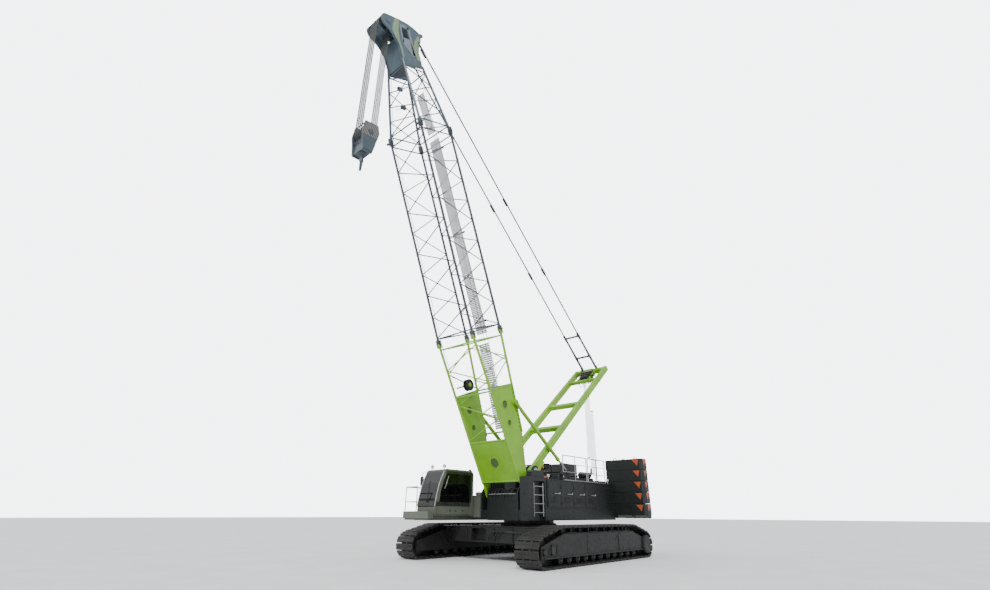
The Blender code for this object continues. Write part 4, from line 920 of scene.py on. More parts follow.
# ------------------------------------------------------------------ upper works
@dataclass
class UpperWorks:
    """Houses, doors, roof machinery, winches and the fittings on the main frame."""

    flank: float = 1.50
    roof: float = 2.90
    sunk: float = 0.01
    drums: tuple[float, ...] = (-0.75, -2.05, -3.35)
    drum_height: float = 2.67
    place: Matrix = field(default_factory=lambda: frame_at(joint_at("slew")))

    def trim(self) -> None:
        """Seams, skirts, louvred panels and roof edges of both houses and the front box."""
        shape = Shape(self.place)
        for side, front, first in ((1, 0.80, -2.98), (-1, -0.15, -2.52)):
            y = side * self.flank

            def strip(x0: float, x1: float, z0: float, z1: float, depth: float) -> None:
                """A raised strip on the flank."""
                low, high = sorted((y - side * 0.005, y + side * depth))
                shape.box((x0, low, z0), (x1, high, z1))
            strip(-4.60, front, 1.80, 1.835, 0.014)
            strip(-4.60, front, 1.40, 1.46, 0.020)
            strip(-4.60, front, self.roof - 0.045, self.roof - 0.005, 0.018)
            for x in (first, -3.80, -4.58):
                strip(x, x + 0.03, 1.84, 2.85, 0.012)
            for k in range(9):
                z = 2.02 + k * 0.085
                low, high = sorted((y - side * 0.004, y + side * 0.022))
                shape.prism([(low, z), (high, z - 0.028), (high, z - 0.020), (low, z + 0.012)],
                            -4.50, -3.86, "x")
            low, high = sorted((y - side * 0.55, y - side * 0.05))
            for x in (-4.4, -3.4, -2.2, -1.0):
                shape.box((x, low, self.roof - 0.002), (x + 0.035, high, self.roof + 0.012))
            shape.bolts([(x, y + side * 0.02, 1.43) for x in
                         [front - 0.15 - 0.45 * k for k in range(int((front + 4.5) / 0.45))]],
                        "y", 0.012, side * 0.012)
        for x0, x1 in ((0.815, 0.885), (1.635, 1.985)):
            shape.box((x0, 1.495, 1.40), (x1, 1.512, 1.46))
            shape.box((x0, 1.495, 2.60), (x1, 1.510, 2.63))
        shape.box((1.995, 1.16, 2.30), (2.012, 1.46, 2.33))
        shape.box((1.995, 1.16, 1.60), (2.012, 1.46, 1.63))
        shape.piece("house_seams", Coat.UPPER, Body.UPPER, 0.003)

    def roof_machinery(self) -> None:
        """Hoods, air cleaner, silencer and tanks that rise above the deck."""
        shape = Shape(self.place)
        hood = [(0.86, 2.92), (1.66, 2.92), (1.62, 3.12), (1.50, 3.18), (0.98, 3.18), (0.88, 3.10)]
        shape.prism(hood, 1.17, 1.45)
        seat = self.roof - self.sunk
        for x0, x1, rear, front, top, y0, y1 in (
                (-2.30, -1.62, 0.08, 0.06, 3.04, 0.86, 1.30),
                (-3.30, -2.42, 0.12, 0.08, 3.10, 0.86, 1.30),
                (-4.45, -3.50, 0.05, 0.06, 3.02, 0.90, 1.34),
                (-1.05, -0.30, 0.05, 0.06, 3.16, 1.02, 1.32),
                (-1.30, -0.30, 0.06, 0.06, 3.08, -1.34, -0.95),
                (-2.50, -1.45, 0.06, 0.06, 3.08, -1.34, -0.95),
                (-3.80, -2.70, 0.06, 0.06, 3.08, -1.34, -0.95)):
            shape.prism([(x0, seat), (x1, seat), (x1 - front, top), (x0 + rear, top)], y0, y1)
        for x, y, radius, top, foot in ((-0.62, 1.345, 0.10, 3.30, 2.93),
                                        (-3.00, -1.15, 0.15, 3.45, 3.05)):
            shape.turned([(radius, 0.0), (radius, top - 3.24), (radius * 0.5, top - 3.2),
                          (radius * 0.5, top - 3.14), (radius * 1.15, top - 3.12),
                          (radius * 1.1, top - 3.02), (radius * 0.4, top - 2.98)],
                         (x, y, foot), "z", 28)
        shape.piece("roof_hoods", Coat.UPPER, Body.UPPER, 0.010)
        pipes = Shape(self.place)
        pipes.turned([(0.10, -0.42), (0.125, -0.38), (0.125, 0.38), (0.10, 0.42)],
                     (-2.85, 1.08, 3.235), "x", 28)
        pipes.sweep([(-3.25, 1.08, 3.235), (-3.36, 1.08, 3.25), (-3.42, 1.08, 3.32),
                     (-3.44, 1.08, 3.42), (-3.46, 1.08, 3.56)], 0.045, 14)
        for x in (-3.1, -2.6):
            pipes.box((x, 1.02, 3.06), (x + 0.03, 1.14, 3.14))
        pipes.piece("exhaust_silencer", Coat.DARK_STEEL, Body.UPPER, 0.003)

    def winch_frames(self) -> None:
        """Rope guards over the drums, the fairlead and the deck's boxes between the houses."""
        shape = Shape(self.place)
        for x, top in zip(self.drums, (3.62, 3.40, 3.28)):
            for y in (-0.585, 0.585):
                shape.sweep([(x - 0.20, y, 2.70), (x - 0.26, y, 3.10), (x - 0.12, y, top - 0.03),
                             (x + 0.12, y, top - 0.03), (x + 0.26, y, 3.10), (x + 0.20, y, 2.70)],
                            0.028, 8)
            for dx in (-0.12, 0.12):
                shape.sweep([(x + dx, -0.585, top - 0.03), (x + dx, 0.585, top - 0.03)], 0.026, 10)
            shape.turned([(0.05, -0.5), (0.06, -0.46), (0.06, 0.46), (0.05, 0.5)],
                         (x, 0, top - 0.16), "y", 20)
            shape.box((x - 0.035, -0.57, top - 0.2), (x + 0.035, -0.49, top))
            shape.box((x - 0.035, 0.49, top - 0.2), (x + 0.035, 0.57, top))
        shape.box((0.02, -0.55, 2.05), (0.30, 0.50, 2.62))
        shape.box((-4.55, -0.60, 2.05), (-4.05, 0.60, 2.70))
        shape.box((-4.45, -0.30, 2.69), (-4.15, 0.30, 2.98))
        for x in self.drums:
            for y, way in ((-0.62, -1), (0.62, 1)):
                shape.turned([(0.17, y), (0.17, y + way * 0.05), (0.11, y + way * 0.07),
                              (0.10, y + way * 0.13)], (x, 0, self.drum_height), "y", 28)
        shape.piece("winch_frames", Coat.UPPER, Body.UPPER, 0.005)

    def windings(self) -> None:
        """The rope laid on each drum, and the drums' ribbed flanges."""
        for name, x, radius, rope in (("hoist_drum_front", self.drums[0], 0.332, 0.013),
                                      ("hoist_drum_rear", self.drums[1], 0.332, 0.013),
                                      ("luffing_drum", self.drums[2], 0.262, 0.012)):
            shape = Shape(self.place)
            count = int(0.86 / (2 * rope))
            profile = [(radius - 0.005, -count * rope)]
            for k in range(count):
                start = (2 * k - count) * rope
                profile += [(radius + rope * (1 + math.sin(t)), start + rope * (1 - math.cos(t)))
                            for t in (0.35, 1.05, 1.57, 2.09, 2.79)]
            profile.append((radius - 0.005, count * rope))
            shape.turned(profile, (x, 0, self.drum_height), "y", 40)
            shape.piece(name + "_rope", Coat.ROPE_DARK, name, smooth=60)
            ribs = Shape(self.place)
            for side in (-1, 1):
                for a in turns(8):
                    ribs.turned([(0.022, side * 0.500), (0.022, side * 0.512)],
                                (x + (radius + 0.07) * math.cos(a), 0,
                                 self.drum_height + (radius + 0.07) * math.sin(a)), "y", 10)
            ribs.piece(name + "_studs", Coat.DARK_STEEL, name, 0.002)

    def doors(self) -> None:
        """Pressed panels, louvres, hinges and bright handles on the doors."""
        for side, hand, count in ((1, "left", 4), (-1, "right", 2)):
            for k in range(count):
                body = f"door_{hand}_{k + 1}"
                hinge = joint_at(body + "_hinge")
                place = Matrix.Translation((hinge.x, hinge.y, 0.0))
                skin = Shape(place)
                frames = ((-0.86, -0.05, 1.92, 1.95), (-0.86, -0.05, 2.74, 2.77))
                frames += ((-0.86, -0.83, 1.95, 2.74), (-0.08, -0.05, 1.95, 2.74))
                for x0, x1, z0, z1 in frames:
                    low, high = sorted((-side * 0.003, side * 0.007))
                    skin.box((x0, low, z0), (x1, high, z1))
                for z in (2.02, 2.60):
                    for dx in (-0.055, -0.015):
                        skin.turned([(0.012, -0.05), (0.012, 0.05)], (dx, side * 0.006, z), "z", 12)
                for j in range(5):
                    low, high = sorted((-side * 0.003, side * 0.016))
                    z = 2.04 + j * 0.05
                    skin.prism([(low, z), (high, z - 0.018), (high, z - 0.012), (low, z + 0.008)],
                               -0.70, -0.20, "x")
                skin.piece(f"door_skin_{hand}_{k + 1}", Coat.UPPER, body, 0.002)
                grip = Shape(place)
                low, high = sorted((side * 0.024, side * 0.040))
                grip.box((-0.80, low, 2.346), (-0.44, high, 2.372))
                low, high = sorted((side * 0.024, side * 0.052))
                grip.prism([(-0.82, 2.34), (-0.76, 2.34), (-0.775, 2.40), (-0.82, 2.42)], low, high)
                grip.piece(f"door_grip_{hand}_{k + 1}", Coat.GALVANISED, body, 0.003)

    def small_fittings(self) -> None:
        """Foot pin keepers, lamps, the lime bracket by the ladder and the orange valve pair."""
        pins = Shape(self.place)
        for side in (-1, 1):
            for x, z in ((1.43, 2.34), (0.95, 3.20)):
                y = side * 1.121
                pins.turned([(0.115, y), (0.115, y + side * 0.018), (0.075, y + side * 0.026),
                             (0.07, y + side * 0.05)], (x, 0, z), "y", 28)
                pins.bolts([(x + 0.093 * math.cos(a), y + side * 0.016, z + 0.093 * math.sin(a))
                            for a in turns(6)], "y", 0.010, side * 0.012)
        pins.sweep([(1.712, -0.70, 2.33), (1.722, -0.2, 2.335), (1.722, 0.3, 2.335),
                    (1.712, 0.72, 2.33)], 0.014, 8)
        pins.piece("foot_pin_keepers", Coat.GALVANISED, Body.UPPER, 0.002)
        hoses = Shape(self.place)
        for k in range(7):
            y = -0.60 + 0.17 * k
            hoses.sweep([(1.66, y, 2.02), (1.69, y, 2.22), (1.68, y + 0.04, 2.40 + 0.02 * (k % 3)),
                         (1.52, y + 0.06, 2.52 + 0.03 * (k % 2)), (1.20, y + 0.03, 2.50),
                         (0.70, y, 2.36), (0.30, y, 2.30)], 0.019, 8)
        hoses.piece("deck_hoses", Coat.PLASTIC, Body.UPPER)
        bracket = Shape(self.place)
        bracket.prism([(0.86, 3.10), (0.92, 3.20), (0.56, 3.54), (0.47, 3.60), (0.43, 3.55),
                       (0.50, 3.42)], 1.14, 1.18)
        bracket.prism([(0.80, 3.05), (1.02, 3.05), (1.02, 3.26), (0.84, 3.22)], 1.12, 1.145)
        bracket.turned([(0.03, 1.12), (0.035, 1.14), (0.035, 1.20), (0.03, 1.21)],
                       (0.47, 0, 3.555), "y", 16)
        bracket.piece("hose_bracket", Coat.LIME, Body.UPPER, 0.004)
        valves = Shape(self.place)
        for x, z in ((0.58, 3.34), (0.42, 2.97)):
            valves.turned([(0.035, -0.05), (0.045, -0.03), (0.045, 0.04), (0.02, 0.06)],
                          (x, 1.20, z), "y", 18)
        valves.piece("accumulator_caps", Coat.MARK, Body.UPPER, 0.002)
        lamps = Shape(self.place)
        for x, y in ((-0.20, 0.92), (-4.50, 1.30), (-4.50, -1.30)):
            lamps.turned([(0.02, 0.0), (0.02, 0.12), (0.055, 0.13), (0.06, 0.20), (0.05, 0.24)],
                         (x, y, 2.90), "z", 20)
        lamps.piece("deck_lamps", Coat.LENS, Body.UPPER, 0.002)

    def build(self) -> None:
        """Makes everything on the upper works."""
        self.trim()
        self.roof_machinery()
        self.winch_frames()
        self.windings()
        self.doors()
        self.small_fittings()


@dataclass
class Counterweight:
    """Marks, lifting lugs, tie rods and base bar of the two slab stacks."""

    front: float = -4.65
    half: float = 3.05
    corner: float = 0.12
    base: float = 1.58
    slab: float = 0.484
    count: int = 5
    swing: float = 5.97
    place: Matrix = field(default_factory=lambda: frame_at(joint_at("slew")))

    def build(self) -> None:
        """Makes the marks and fittings on both stacks."""
        marks = Shape(self.place)
        steel = Shape(self.place)
        skirt = Shape(self.place)
        side_end = -math.sqrt(self.swing ** 2 - self.half ** 2)
        for side in (-1, 1):
            for i in range(self.count):
                top = self.base + (i + 1) * self.slab - 0.055
                low = top - 0.27
                outer = side * (self.half - self.corner - 0.03)
                marks.prism([(outer, top), (outer - side * 0.33, top), (outer - side * 0.09, low)],
                            self.front - 0.001, self.front + 0.003, "x")
                y = side * self.half
                near = self.front - self.corner - 0.02
                marks.prism([(near, top), (side_end + 0.03, top), (near - 0.06, low)],
                            *sorted((y - side * 0.001, y + side * 0.003)))
                y0, y1 = sorted((side * 2.2, side * 2.6))
                steel.box((self.front - 0.30, y0, top + 0.02),
                          (self.front + 0.004, y1, top + 0.035))
            for x, y in ((-4.95, 1.55), (-4.95, 2.6), (-5.5, 1.7)):
                z = self.base + self.count * self.slab - 0.015
                steel.sweep([(x, side * y - 0.07, z), (x, side * y - 0.07, z + 0.07),
                             (x, side * y, z + 0.11), (x, side * y + 0.07, z + 0.07),
                             (x, side * y + 0.07, z)], 0.018, 10)
                steel.turned([(0.11, 0.0), (0.11, 0.02), (0.10, 0.025)], (x, side * y, z), "z", 24)
            for y0, y1 in ((1.62, 2.32), (2.48, 3.0)):
                low, high = sorted((side * y0, side * y1))
                skirt.box((self.front - 0.01, low, 1.46), (self.front + 0.012, high, 1.575))
            skirt.turned([(0.035, 0.0), (0.035, 0.014), (0.02, 0.018)],
                         (self.front, side * 2.40, 1.52), "x", 16)
        marks.piece("signal_marks", Coat.MARK, Body.UPPER)
        steel.piece("weight_lifting_lugs", Coat.DARK_STEEL, Body.UPPER, 0.003)
        skirt.piece("weight_base_bar", Coat.SKIRT, Body.UPPER, 0.003)


# ------------------------------------------------------------------ cab
@dataclass
class Cab:
    """Trim, lamps, mirror, wiper, seat and console of the cab."""

    left: float = -1.42
    width: float = 0.98
    floor: float = 1.58
    roof: float = 3.23
    place: Matrix = field(default_factory=lambda: frame_at(joint_at("slew")))

    def nose(self, z: float) -> float:
        """How far forward the nose reaches at a height.

        Args:
            z: the height above the ground.

        Returns:
            The nose's x at that height.
        """
        line = [(1.85, 3.98), (2.15, 3.93), (2.70, 3.78), (3.13, 3.56)]
        for (z0, x0), (z1, x1) in zip(line, line[1:]):
            if z <= z1:
                return x0 + (x1 - x0) * (z - z0) / (z1 - z0)
        return line[-1][1]

    def pillars(self) -> None:
        """Bright corner pillars, sill panels, gaskets and the skirt's holes."""
        right = self.left - self.width
        pillar = Shape(self.place)
        for y in (self.left + 0.004, right - 0.004):
            pillar.sweep([(self.nose(z) + 0.006, y, z) for z in
                          (1.88, 2.05, 2.25, 2.45, 2.65, 2.85, 3.05, 3.14)], 0.020, 10)
        pillar.sweep([(3.56, self.left - 0.02, 3.20), (3.56, right + 0.02, 3.20)], 0.018, 10)
        pillar.piece("cab_pillars", Coat.GALVANISED, Body.UPPER)
        dark = Shape(self.place)
        y = self.left + 0.001
        band = [(2.06, 1.88), (3.93, 1.88), (3.90, 2.02), (3.74, 2.02), (2.12, 2.02), (2.06, 2.02)]
        dark.prism(band, y, y + 0.010)
        dark.prism([(1.90, 3.07), (3.46, 3.07), (3.42, 3.17), (1.96, 3.17)], y, y + 0.010)
        dark.prism([(2.00, 2.02), (2.10, 2.02), (2.02, 3.06), (1.94, 3.06)], y, y + 0.010)
        dark.prism([(1.93, 1.86), (3.98, 1.86), (3.965, 2.0), (1.93, 2.0)], right + 0.02,
                   right + 0.05)
        low, high = right + 0.08, self.left - 0.08
        dark.prism([(self.nose(1.88) + 0.002, 1.88), (self.nose(1.88) + 0.014, 1.88),
                    (self.nose(2.06) + 0.014, 2.06), (self.nose(2.06) + 0.002, 2.06)], low, high)
        dark.piece("cab_dark_panels", Coat.CAB_DARK, Body.UPPER, 0.003)
        holes = Shape(self.place)
        for x in (2.45, 2.85, 3.15):
            holes.turned([(0.034, self.left), (0.034, self.left + 0.006), (0.02, self.left + 0.008)],
                         (x, 0, 1.72), "y", 20)
        holes.prism([(2.08, 1.56), (3.9, 1.56), (3.9, 1.575), (2.08, 1.575)], self.left,
                    self.left + 0.008)
        holes.piece("skirt_plugs", Coat.PLASTIC, Body.UPPER, 0.001)

    def roof_fittings(self) -> None:
        """Two round lamps, a rear lamp, the mirror and the wiper."""
        black = Shape(self.place)
        lens = Shape(self.place)
        for y in (self.left - 0.12, self.left - self.width + 0.16):
            x = 3.44
            black.sweep([(x, y, self.roof), (x, y, self.roof + 0.05)], 0.012, 8)
            black.turned([(0.045, -0.05), (0.068, -0.01), (0.072, 0.03), (0.066, 0.034)],
                         (x, y, self.roof + 0.12), "x", 28)
            lens.turned([(0.064, 0.030), (0.060, 0.038), (0.03, 0.044)],
                        (x, y, self.roof + 0.12), "x", 28)
        black.turned([(0.05, 0.0), (0.055, 0.02), (0.05, 0.06), (0.03, 0.08)],
                     (1.98, self.left - 0.10, self.roof), "z", 24)
        black.prism([(1.92, 3.225), (3.40, 3.225), (3.42, 3.245), (1.94, 3.245)], self.left - 0.05,
                    self.left - 0.02)
        x, y = 3.72, self.left - self.width - 0.10
        black.sweep([(3.52, y + 0.12, 3.16), (3.66, y + 0.04, 3.15), (x, y, 3.08),
                     (x + 0.01, y, 2.98)], 0.012, 8)
        mirror = [(y - 0.07, 2.62), (y + 0.07, 2.62), (y + 0.085, 2.70), (y + 0.085, 2.92),
                  (y + 0.06, 2.98), (y - 0.06, 2.98), (y - 0.085, 2.92), (y - 0.085, 2.70)]
        black.prism(mirror, x, x + 0.035, "x")
        wiper = [(self.nose(z) + 0.03, self.left - 0.45 - (z - 2.05) * 0.15, z)
                 for z in (2.05, 2.3, 2.55, 2.8)]
        black.sweep(wiper, 0.008, 6)
        black.turned([(0.03, -0.02), (0.035, 0.0), (0.02, 0.05)], wiper[0], "x", 16)
        black.piece("cab_roof_fittings", Coat.PLASTIC, Body.UPPER, 0.002)
        lens.piece("lamp_lenses", Coat.LENS, Body.UPPER)
        rails = Shape(self.place)
        rails.sweep([(1.80, self.left - 0.10, 1.62), (1.76, self.left - 0.10, 1.70),
                     (1.76, self.left - 0.10, 2.10), (1.80, self.left - 0.10, 2.18)], 0.014, 8)
        rails.sweep([(3.30, self.left + 0.01, 2.98), (3.36, self.left + 0.035, 2.90),
                     (3.47, self.left + 0.035, 2.60), (3.50, self.left + 0.01, 2.50)], 0.011, 8)
        rails.piece("cab_grab_rails", Coat.GALVANISED, Body.UPPER)

    def cushion(self, name: str, centre: Point, size: Point, lean: float) -> bpy.types.Object:
        """A crowned cushion with pulled-in edges.

        Args:
            name: the piece's name.
            centre: its middle.
            size: its length, width and thickness.
            lean: how far it is tipped about Y, in degrees.

        Returns:
            The cushion.
        """
        shape = Shape(self.place @ frame_at(centre, lean))
        steps = 14
        rings = []
        for i in range(steps + 1):
            u = -1 + 2 * i / steps
            body = max(0.0, 1 - abs(u) ** 5) ** 0.5
            ring = []
            for t in turns(28):
                c, s = math.cos(t), math.sin(t)
                y = math.copysign(abs(c) ** 0.45, c) * size[1] / 2 * (0.90 + 0.10 * body)
                crown = 1 + 0.12 * (1 - u * u) * (1 - c * c)
                seam = 1 - 0.07 * math.exp(-((y / size[1]) * 14) ** 2)
                z = math.copysign(abs(s) ** 0.6, s) * size[2] / 2 * (0.25 + 0.75 * body)
                ring.append((u * size[0] / 2, y, z * (crown * seam if s > 0 else 1.0)))
            rings.append(ring)
        made = shape.loft(rings).piece(name, Coat.SEAT, Body.UPPER, smooth=70)
        return made

    def inside(self) -> None:
        """The operator's seat, its pedestal, both consoles and the levers."""
        y = self.left - self.width / 2
        x = 2.60
        base = Shape(self.place)
        base.prism([(x - 0.22, self.floor + 0.004), (x + 0.24, self.floor + 0.004),
                    (x + 0.20, self.floor + 0.12), (x + 0.12, self.floor + 0.30),
                    (x + 0.20, self.floor + 0.40), (x - 0.22, self.floor + 0.40),
                    (x - 0.12, self.floor + 0.30)], y - 0.19, y + 0.19)
        base.piece("seat_pedestal", Coat.PLASTIC, Body.UPPER, 0.008,
                   replaces=["operator_seat"])
        self.cushion("seat_cushion", (x, y, self.floor + 0.49), (0.56, 0.50, 0.15), 4)
        self.cushion("seat_back", (x - 0.31, y, self.floor + 0.86), (0.66, 0.48, 0.13), 100)
        self.cushion("head_rest", (x - 0.38, y, self.floor + 1.27), (0.18, 0.26, 0.10), 100)
        desk = Shape(self.place)
        for way in (-1, 1):
            side = y + way * 0.33
            desk.prism([(2.35, 1.62), (3.00, 1.62), (3.08, 2.10), (2.95, 2.18), (2.45, 2.16),
                        (2.35, 2.10)], side - 0.07, side + 0.07)
            for k in range(2):
                lever = (2.82 + k * 0.12, side, 2.15)
                desk.sweep([lever, (lever[0] + 0.02, side, 2.28), (lever[0] + 0.03, side, 2.32)],
                           0.009, 8)
                desk.turned([(0.016, 0.0), (0.026, 0.02), (0.024, 0.06), (0.012, 0.075)],
                            (lever[0] + 0.03, side, 2.31), "z", 16)
        desk.prism([(3.50, 1.60), (3.76, 1.60), (3.70, 2.02), (3.58, 2.12), (3.50, 2.06)],
                   y - 0.30, y + 0.10)
        desk.piece("control_consoles", Coat.PLASTIC, Body.UPPER, 0.006)

    def deck(self) -> None:
        """Tread plate ridges, kick strips and the bolts under the walkway."""
        shape = Shape(self.place)
        outer = self.left - self.width - 0.07 - 0.38
        for k in range(26):
            x = 1.06 + k * 0.123
            shape.box((x, outer + 0.03, 1.689), (x + 0.03, outer + 0.34, 1.697))
        for k in range(7):
            y = self.left - 0.08 - k * 0.14
            shape.box((4.06, y - 0.03, 1.689), (4.26, y, 1.697))
        shape.bolts([(4.30, y, 1.57) for y in (-1.6, -1.9, -2.2, -2.5, -2.8)], "x", 0.014, 0.012)
        shape.bolts([(x, outer, 1.57) for x in (1.3, 1.9, 2.5, 3.1, 3.7)], "y", 0.014, -0.012)
        shape.turned([(0.14, 0.0), (0.16, 0.03), (0.16, 0.10), (0.12, 0.14)],
                     (1.46, -1.44, 2.30), "z", 28)
        shape.piece("walkway_treads", Coat.CAB, Body.UPPER, 0.002)

    def build(self) -> None:
        """Makes the whole cab's dressing."""
        self.pillars()
        self.roof_fittings()
        self.inside()
        self.deck()


# ------------------------------------------------------------------ boom
@dataclass
class Boom:
    """Pins, brackets, grating, reel, cable and head details, in the boom's own frame."""

    lean: float = 67.7
    base: float = 6.45
    insert: float = 9.0
    top: float = 3.25
    half: float = 0.96
    front: float = 0.80
    rear: float = 0.99
    head_half: float = 0.50
    cheek: float = 0.035
    head_axis: tuple[float, float] = (20.36, -0.77)
    strip: float = 0.56
    hatch_at: float = 1.33
    windows: tuple[tuple[float, float, float], ...] = ((0.150, 3.49, 0.05), (0.110, 2.75, 0.05))
    window_rim: tuple[float, ...] = (0.040, 0.035)
    place: Matrix = field(init=False)

    def __post_init__(self) -> None:
        """Puts the frame on the boom's foot."""
        self.place = frame_at(joint_at("boom_luff"), self.lean)

    def chord(self, side: int, face: int, s: float) -> Vector:
        """A point on a chord's middle line, a distance up the boom.

        Args:
            side: 1 for the left chord, -1 for the right.
            face: -1 for the front face, 1 for the back.
            s: the distance up the boom.

        Returns:
            The point in the boom's frame.
        """
        half, front, rear = self.half, self.front, self.rear
        if s < self.base:
            front = 0.10 + 0.70 * s / self.base
            rear = self.rear - 0.065 * (self.base - s)
        beyond = (s - self.base - self.insert) / self.top
        if beyond > 0:
            half -= 0.46 * beyond
            front -= 0.40 * beyond
            rear -= 0.23 * beyond
        return Vector((s, side * half, -front if face < 0 else rear))

    def joints(self) -> None:
        """Forked lugs, pins and keepers where the sections meet, and the welded nodes."""
        shape = Shape(self.place)
        for s in (self.base, self.base + self.insert):
            for side in (-1, 1):
                for face in (-1, 1):
                    c = self.chord(side, face, s)
                    shape.turned([(0.040, -0.115), (0.052, -0.112), (0.052, -0.095),
                                  (0.034, -0.090), (0.034, 0.090), (0.052, 0.095),
                                  (0.052, 0.112), (0.040, 0.115)], c, "y", 18)
                    for way in (-1, 1):
                        near = c.x + way * 0.10
                        shape.turned([(0.072, near - 0.035), (0.080, near - 0.02),
                                      (0.080, near + 0.02), (0.072, near + 0.035)],
                                     (0, c.y, c.z), "x", 18)
                    shape.sweep([c + Vector((0, 0.115, 0)), c + Vector((0.03, 0.14, 0.02)),
                                 c + Vector((0.07, 0.13, 0.03))], 0.006, 6)
        shape.piece("section_pins", Coat.BOOM_GREY, Body.BOOM, 0.002)

    def foot(self) -> None:
        """Stiffeners, the holed rear bar, the plate rims and the foot's bosses."""
        shape = Shape(self.place)
        plate = self.half + 0.03
        for side in (-1, 1):
            y = side * plate

            def rib(points: Outline, depth: float = 0.02) -> None:
                """A flat rib on the plate's outer face."""
                shape.prism(points, *sorted((y - side * 0.004, y + side * depth)))
            rib([(0.62, -0.15), (4.18, -0.535), (4.18, -0.50), (0.62, -0.115)])
            rib([(2.30, 0.66), (4.18, 0.795), (4.18, 0.83), (2.28, 0.70)], 0.035)
            rib([(4.14, -0.52), (4.19, -0.52), (4.19, 0.80), (4.14, 0.80)])
            for (window, s, d), rim in zip(self.windows, self.window_rim):
                radius = window + rim
                rings = []
                for t in turns(28):
                    cs, sn = math.cos(t), math.sin(t)
                    rings.append([(s + r * cs, yy, d + r * sn) for r, yy in
                                  ((radius - 0.03, y - side * 0.002), (radius, y - side * 0.002),
                                   (radius, y + side * 0.016), (radius - 0.03, y + side * 0.016))])
                shape.loft(rings, closed=True)
            shape.turned([(0.085, y - side * 0.002), (0.125, y - side * 0.001),
                          (0.125, y + side * 0.018), (0.085, y + side * 0.02)], (0, 0, 0), "y", 28)
        shape.piece("foot_plate_ribs", Coat.LIME, Body.BOOM, 0.004)
        steps = Shape(self.place)
        for side in (-1, 1):
            y = side * (plate + 0.001)
            for k in range(17):
                s = 1.55 + k * 0.15
                d = 0.49 + (s - 1.34) * 0.24
                if s > 2.28:
                    d = self.chord(1, 1, s).z - 0.07
                steps.turned([(0.016, y), (0.016, y + side * 0.022), (0.008, y + side * 0.024)],
                             (s, 0, d - 0.02), "y", 10)
        steps.piece("foot_plate_studs", Coat.DARK_STEEL, Body.BOOM, 0.001)
        # Painted shade: dark lime discs just inside the side plates' round windows stand for the shade
        # in those holes.
        window_hole_shade = Shape(self.place)
        for side in (-1, 1):
            y = side * (self.half - 0.005)
            for radius, s, d in self.windows:
                window_hole_shade.turned([(radius, y - 0.012), (radius, y + 0.012)], (s, 0, d), "y", 28)
        window_hole_shade.piece("window_hole_painted_shade", Coat.LIME_DEEP, Body.BOOM, 0.002)
        # Painted shade: a dark lime disc in the front plate's round hole stands for the shade inside
        # it; the bar across the front is in the same dark lime.
        middle, depth = self.chord(1, -1, self.hatch_at).z, 0.012
        front_hole_shade = Shape(self.place)
        front_hole_shade.turned([(0.188, middle - depth), (0.188, middle + depth)], (self.hatch_at, 0, 0),
                     "z", 32)
        front_hole_shade.sweep([(0.53, -0.93, -0.16), (0.53, 0.93, -0.16)], 0.03, 10)
        front_hole_shade.piece("front_plate_hole_shade_and_bar", Coat.LIME_DEEP, Body.BOOM, 0.002)

    def grating(self) -> None:
        """The walkway: two side angles, bearing bars and cross bars, over the back of the insert."""
        low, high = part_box("boom_walkway")
        half = self.strip / 2
        top = self.rear - 0.0312 * math.cos(math.radians(15)) - 0.0003
        start, end = self.base + 0.02, self.base + self.insert - 0.02
        shape = Shape(self.place)
        for side in (-1, 1):
            shape.prism([(side * half, top - 0.035), (side * half, top - 0.001),
                         (side * (half - 0.006), top - 0.001), (side * (half - 0.006), top - 0.035)],
                        start, end, "x")
        for k in range(9):
            y = -half + 0.03 + k * (self.strip - 0.06) / 8
            shape.box((start, y - 0.004, top - 0.030), (end, y + 0.004, top - 0.002))
        count = int((end - start) / 0.075)
        for k in range(count + 1):
            s = start + (end - start - 0.03) * k / count
            shape.box((s, -half + 0.004, top - 0.014), (s + 0.058, half - 0.004, top - 0.004))
        shape.piece("walkway_grating", Coat.GRATING, Body.BOOM, replaces=["boom_walkway"])
        LOG.info("walkway spans z %.2f to %.2f", low.z, high.z)
        extra = Shape(self.place)
        for a, b in ((2.45, self.base - 0.45), (self.base + self.insert + 0.3, 17.6)):
            level = self.chord(1, 1, a).z - 0.075
            after = self.chord(1, 1, b).z - 0.075
            for k in range(9):
                y = (-half + 0.03 + k * (self.strip - 0.06) / 8) * (0.8 if a > 9 else 1.0)
                extra.prism([(a, level - 0.02), (b, after - 0.02), (b, after), (a, level)],
                            y - 0.004, y + 0.004)
            steps = int((b - a) / 0.09)
            for k in range(steps + 1):
                s = a + (b - a - 0.03) * k / steps
                z = level + (after - level) * (s - a) / (b - a)
                width = half * (0.8 if a > 9 else 1.0)
                extra.box((s, -width, z - 0.012), (s + 0.07, width, z - 0.002))
        extra.piece("walkway_end_gratings", Coat.GRATING, Body.BOOM)

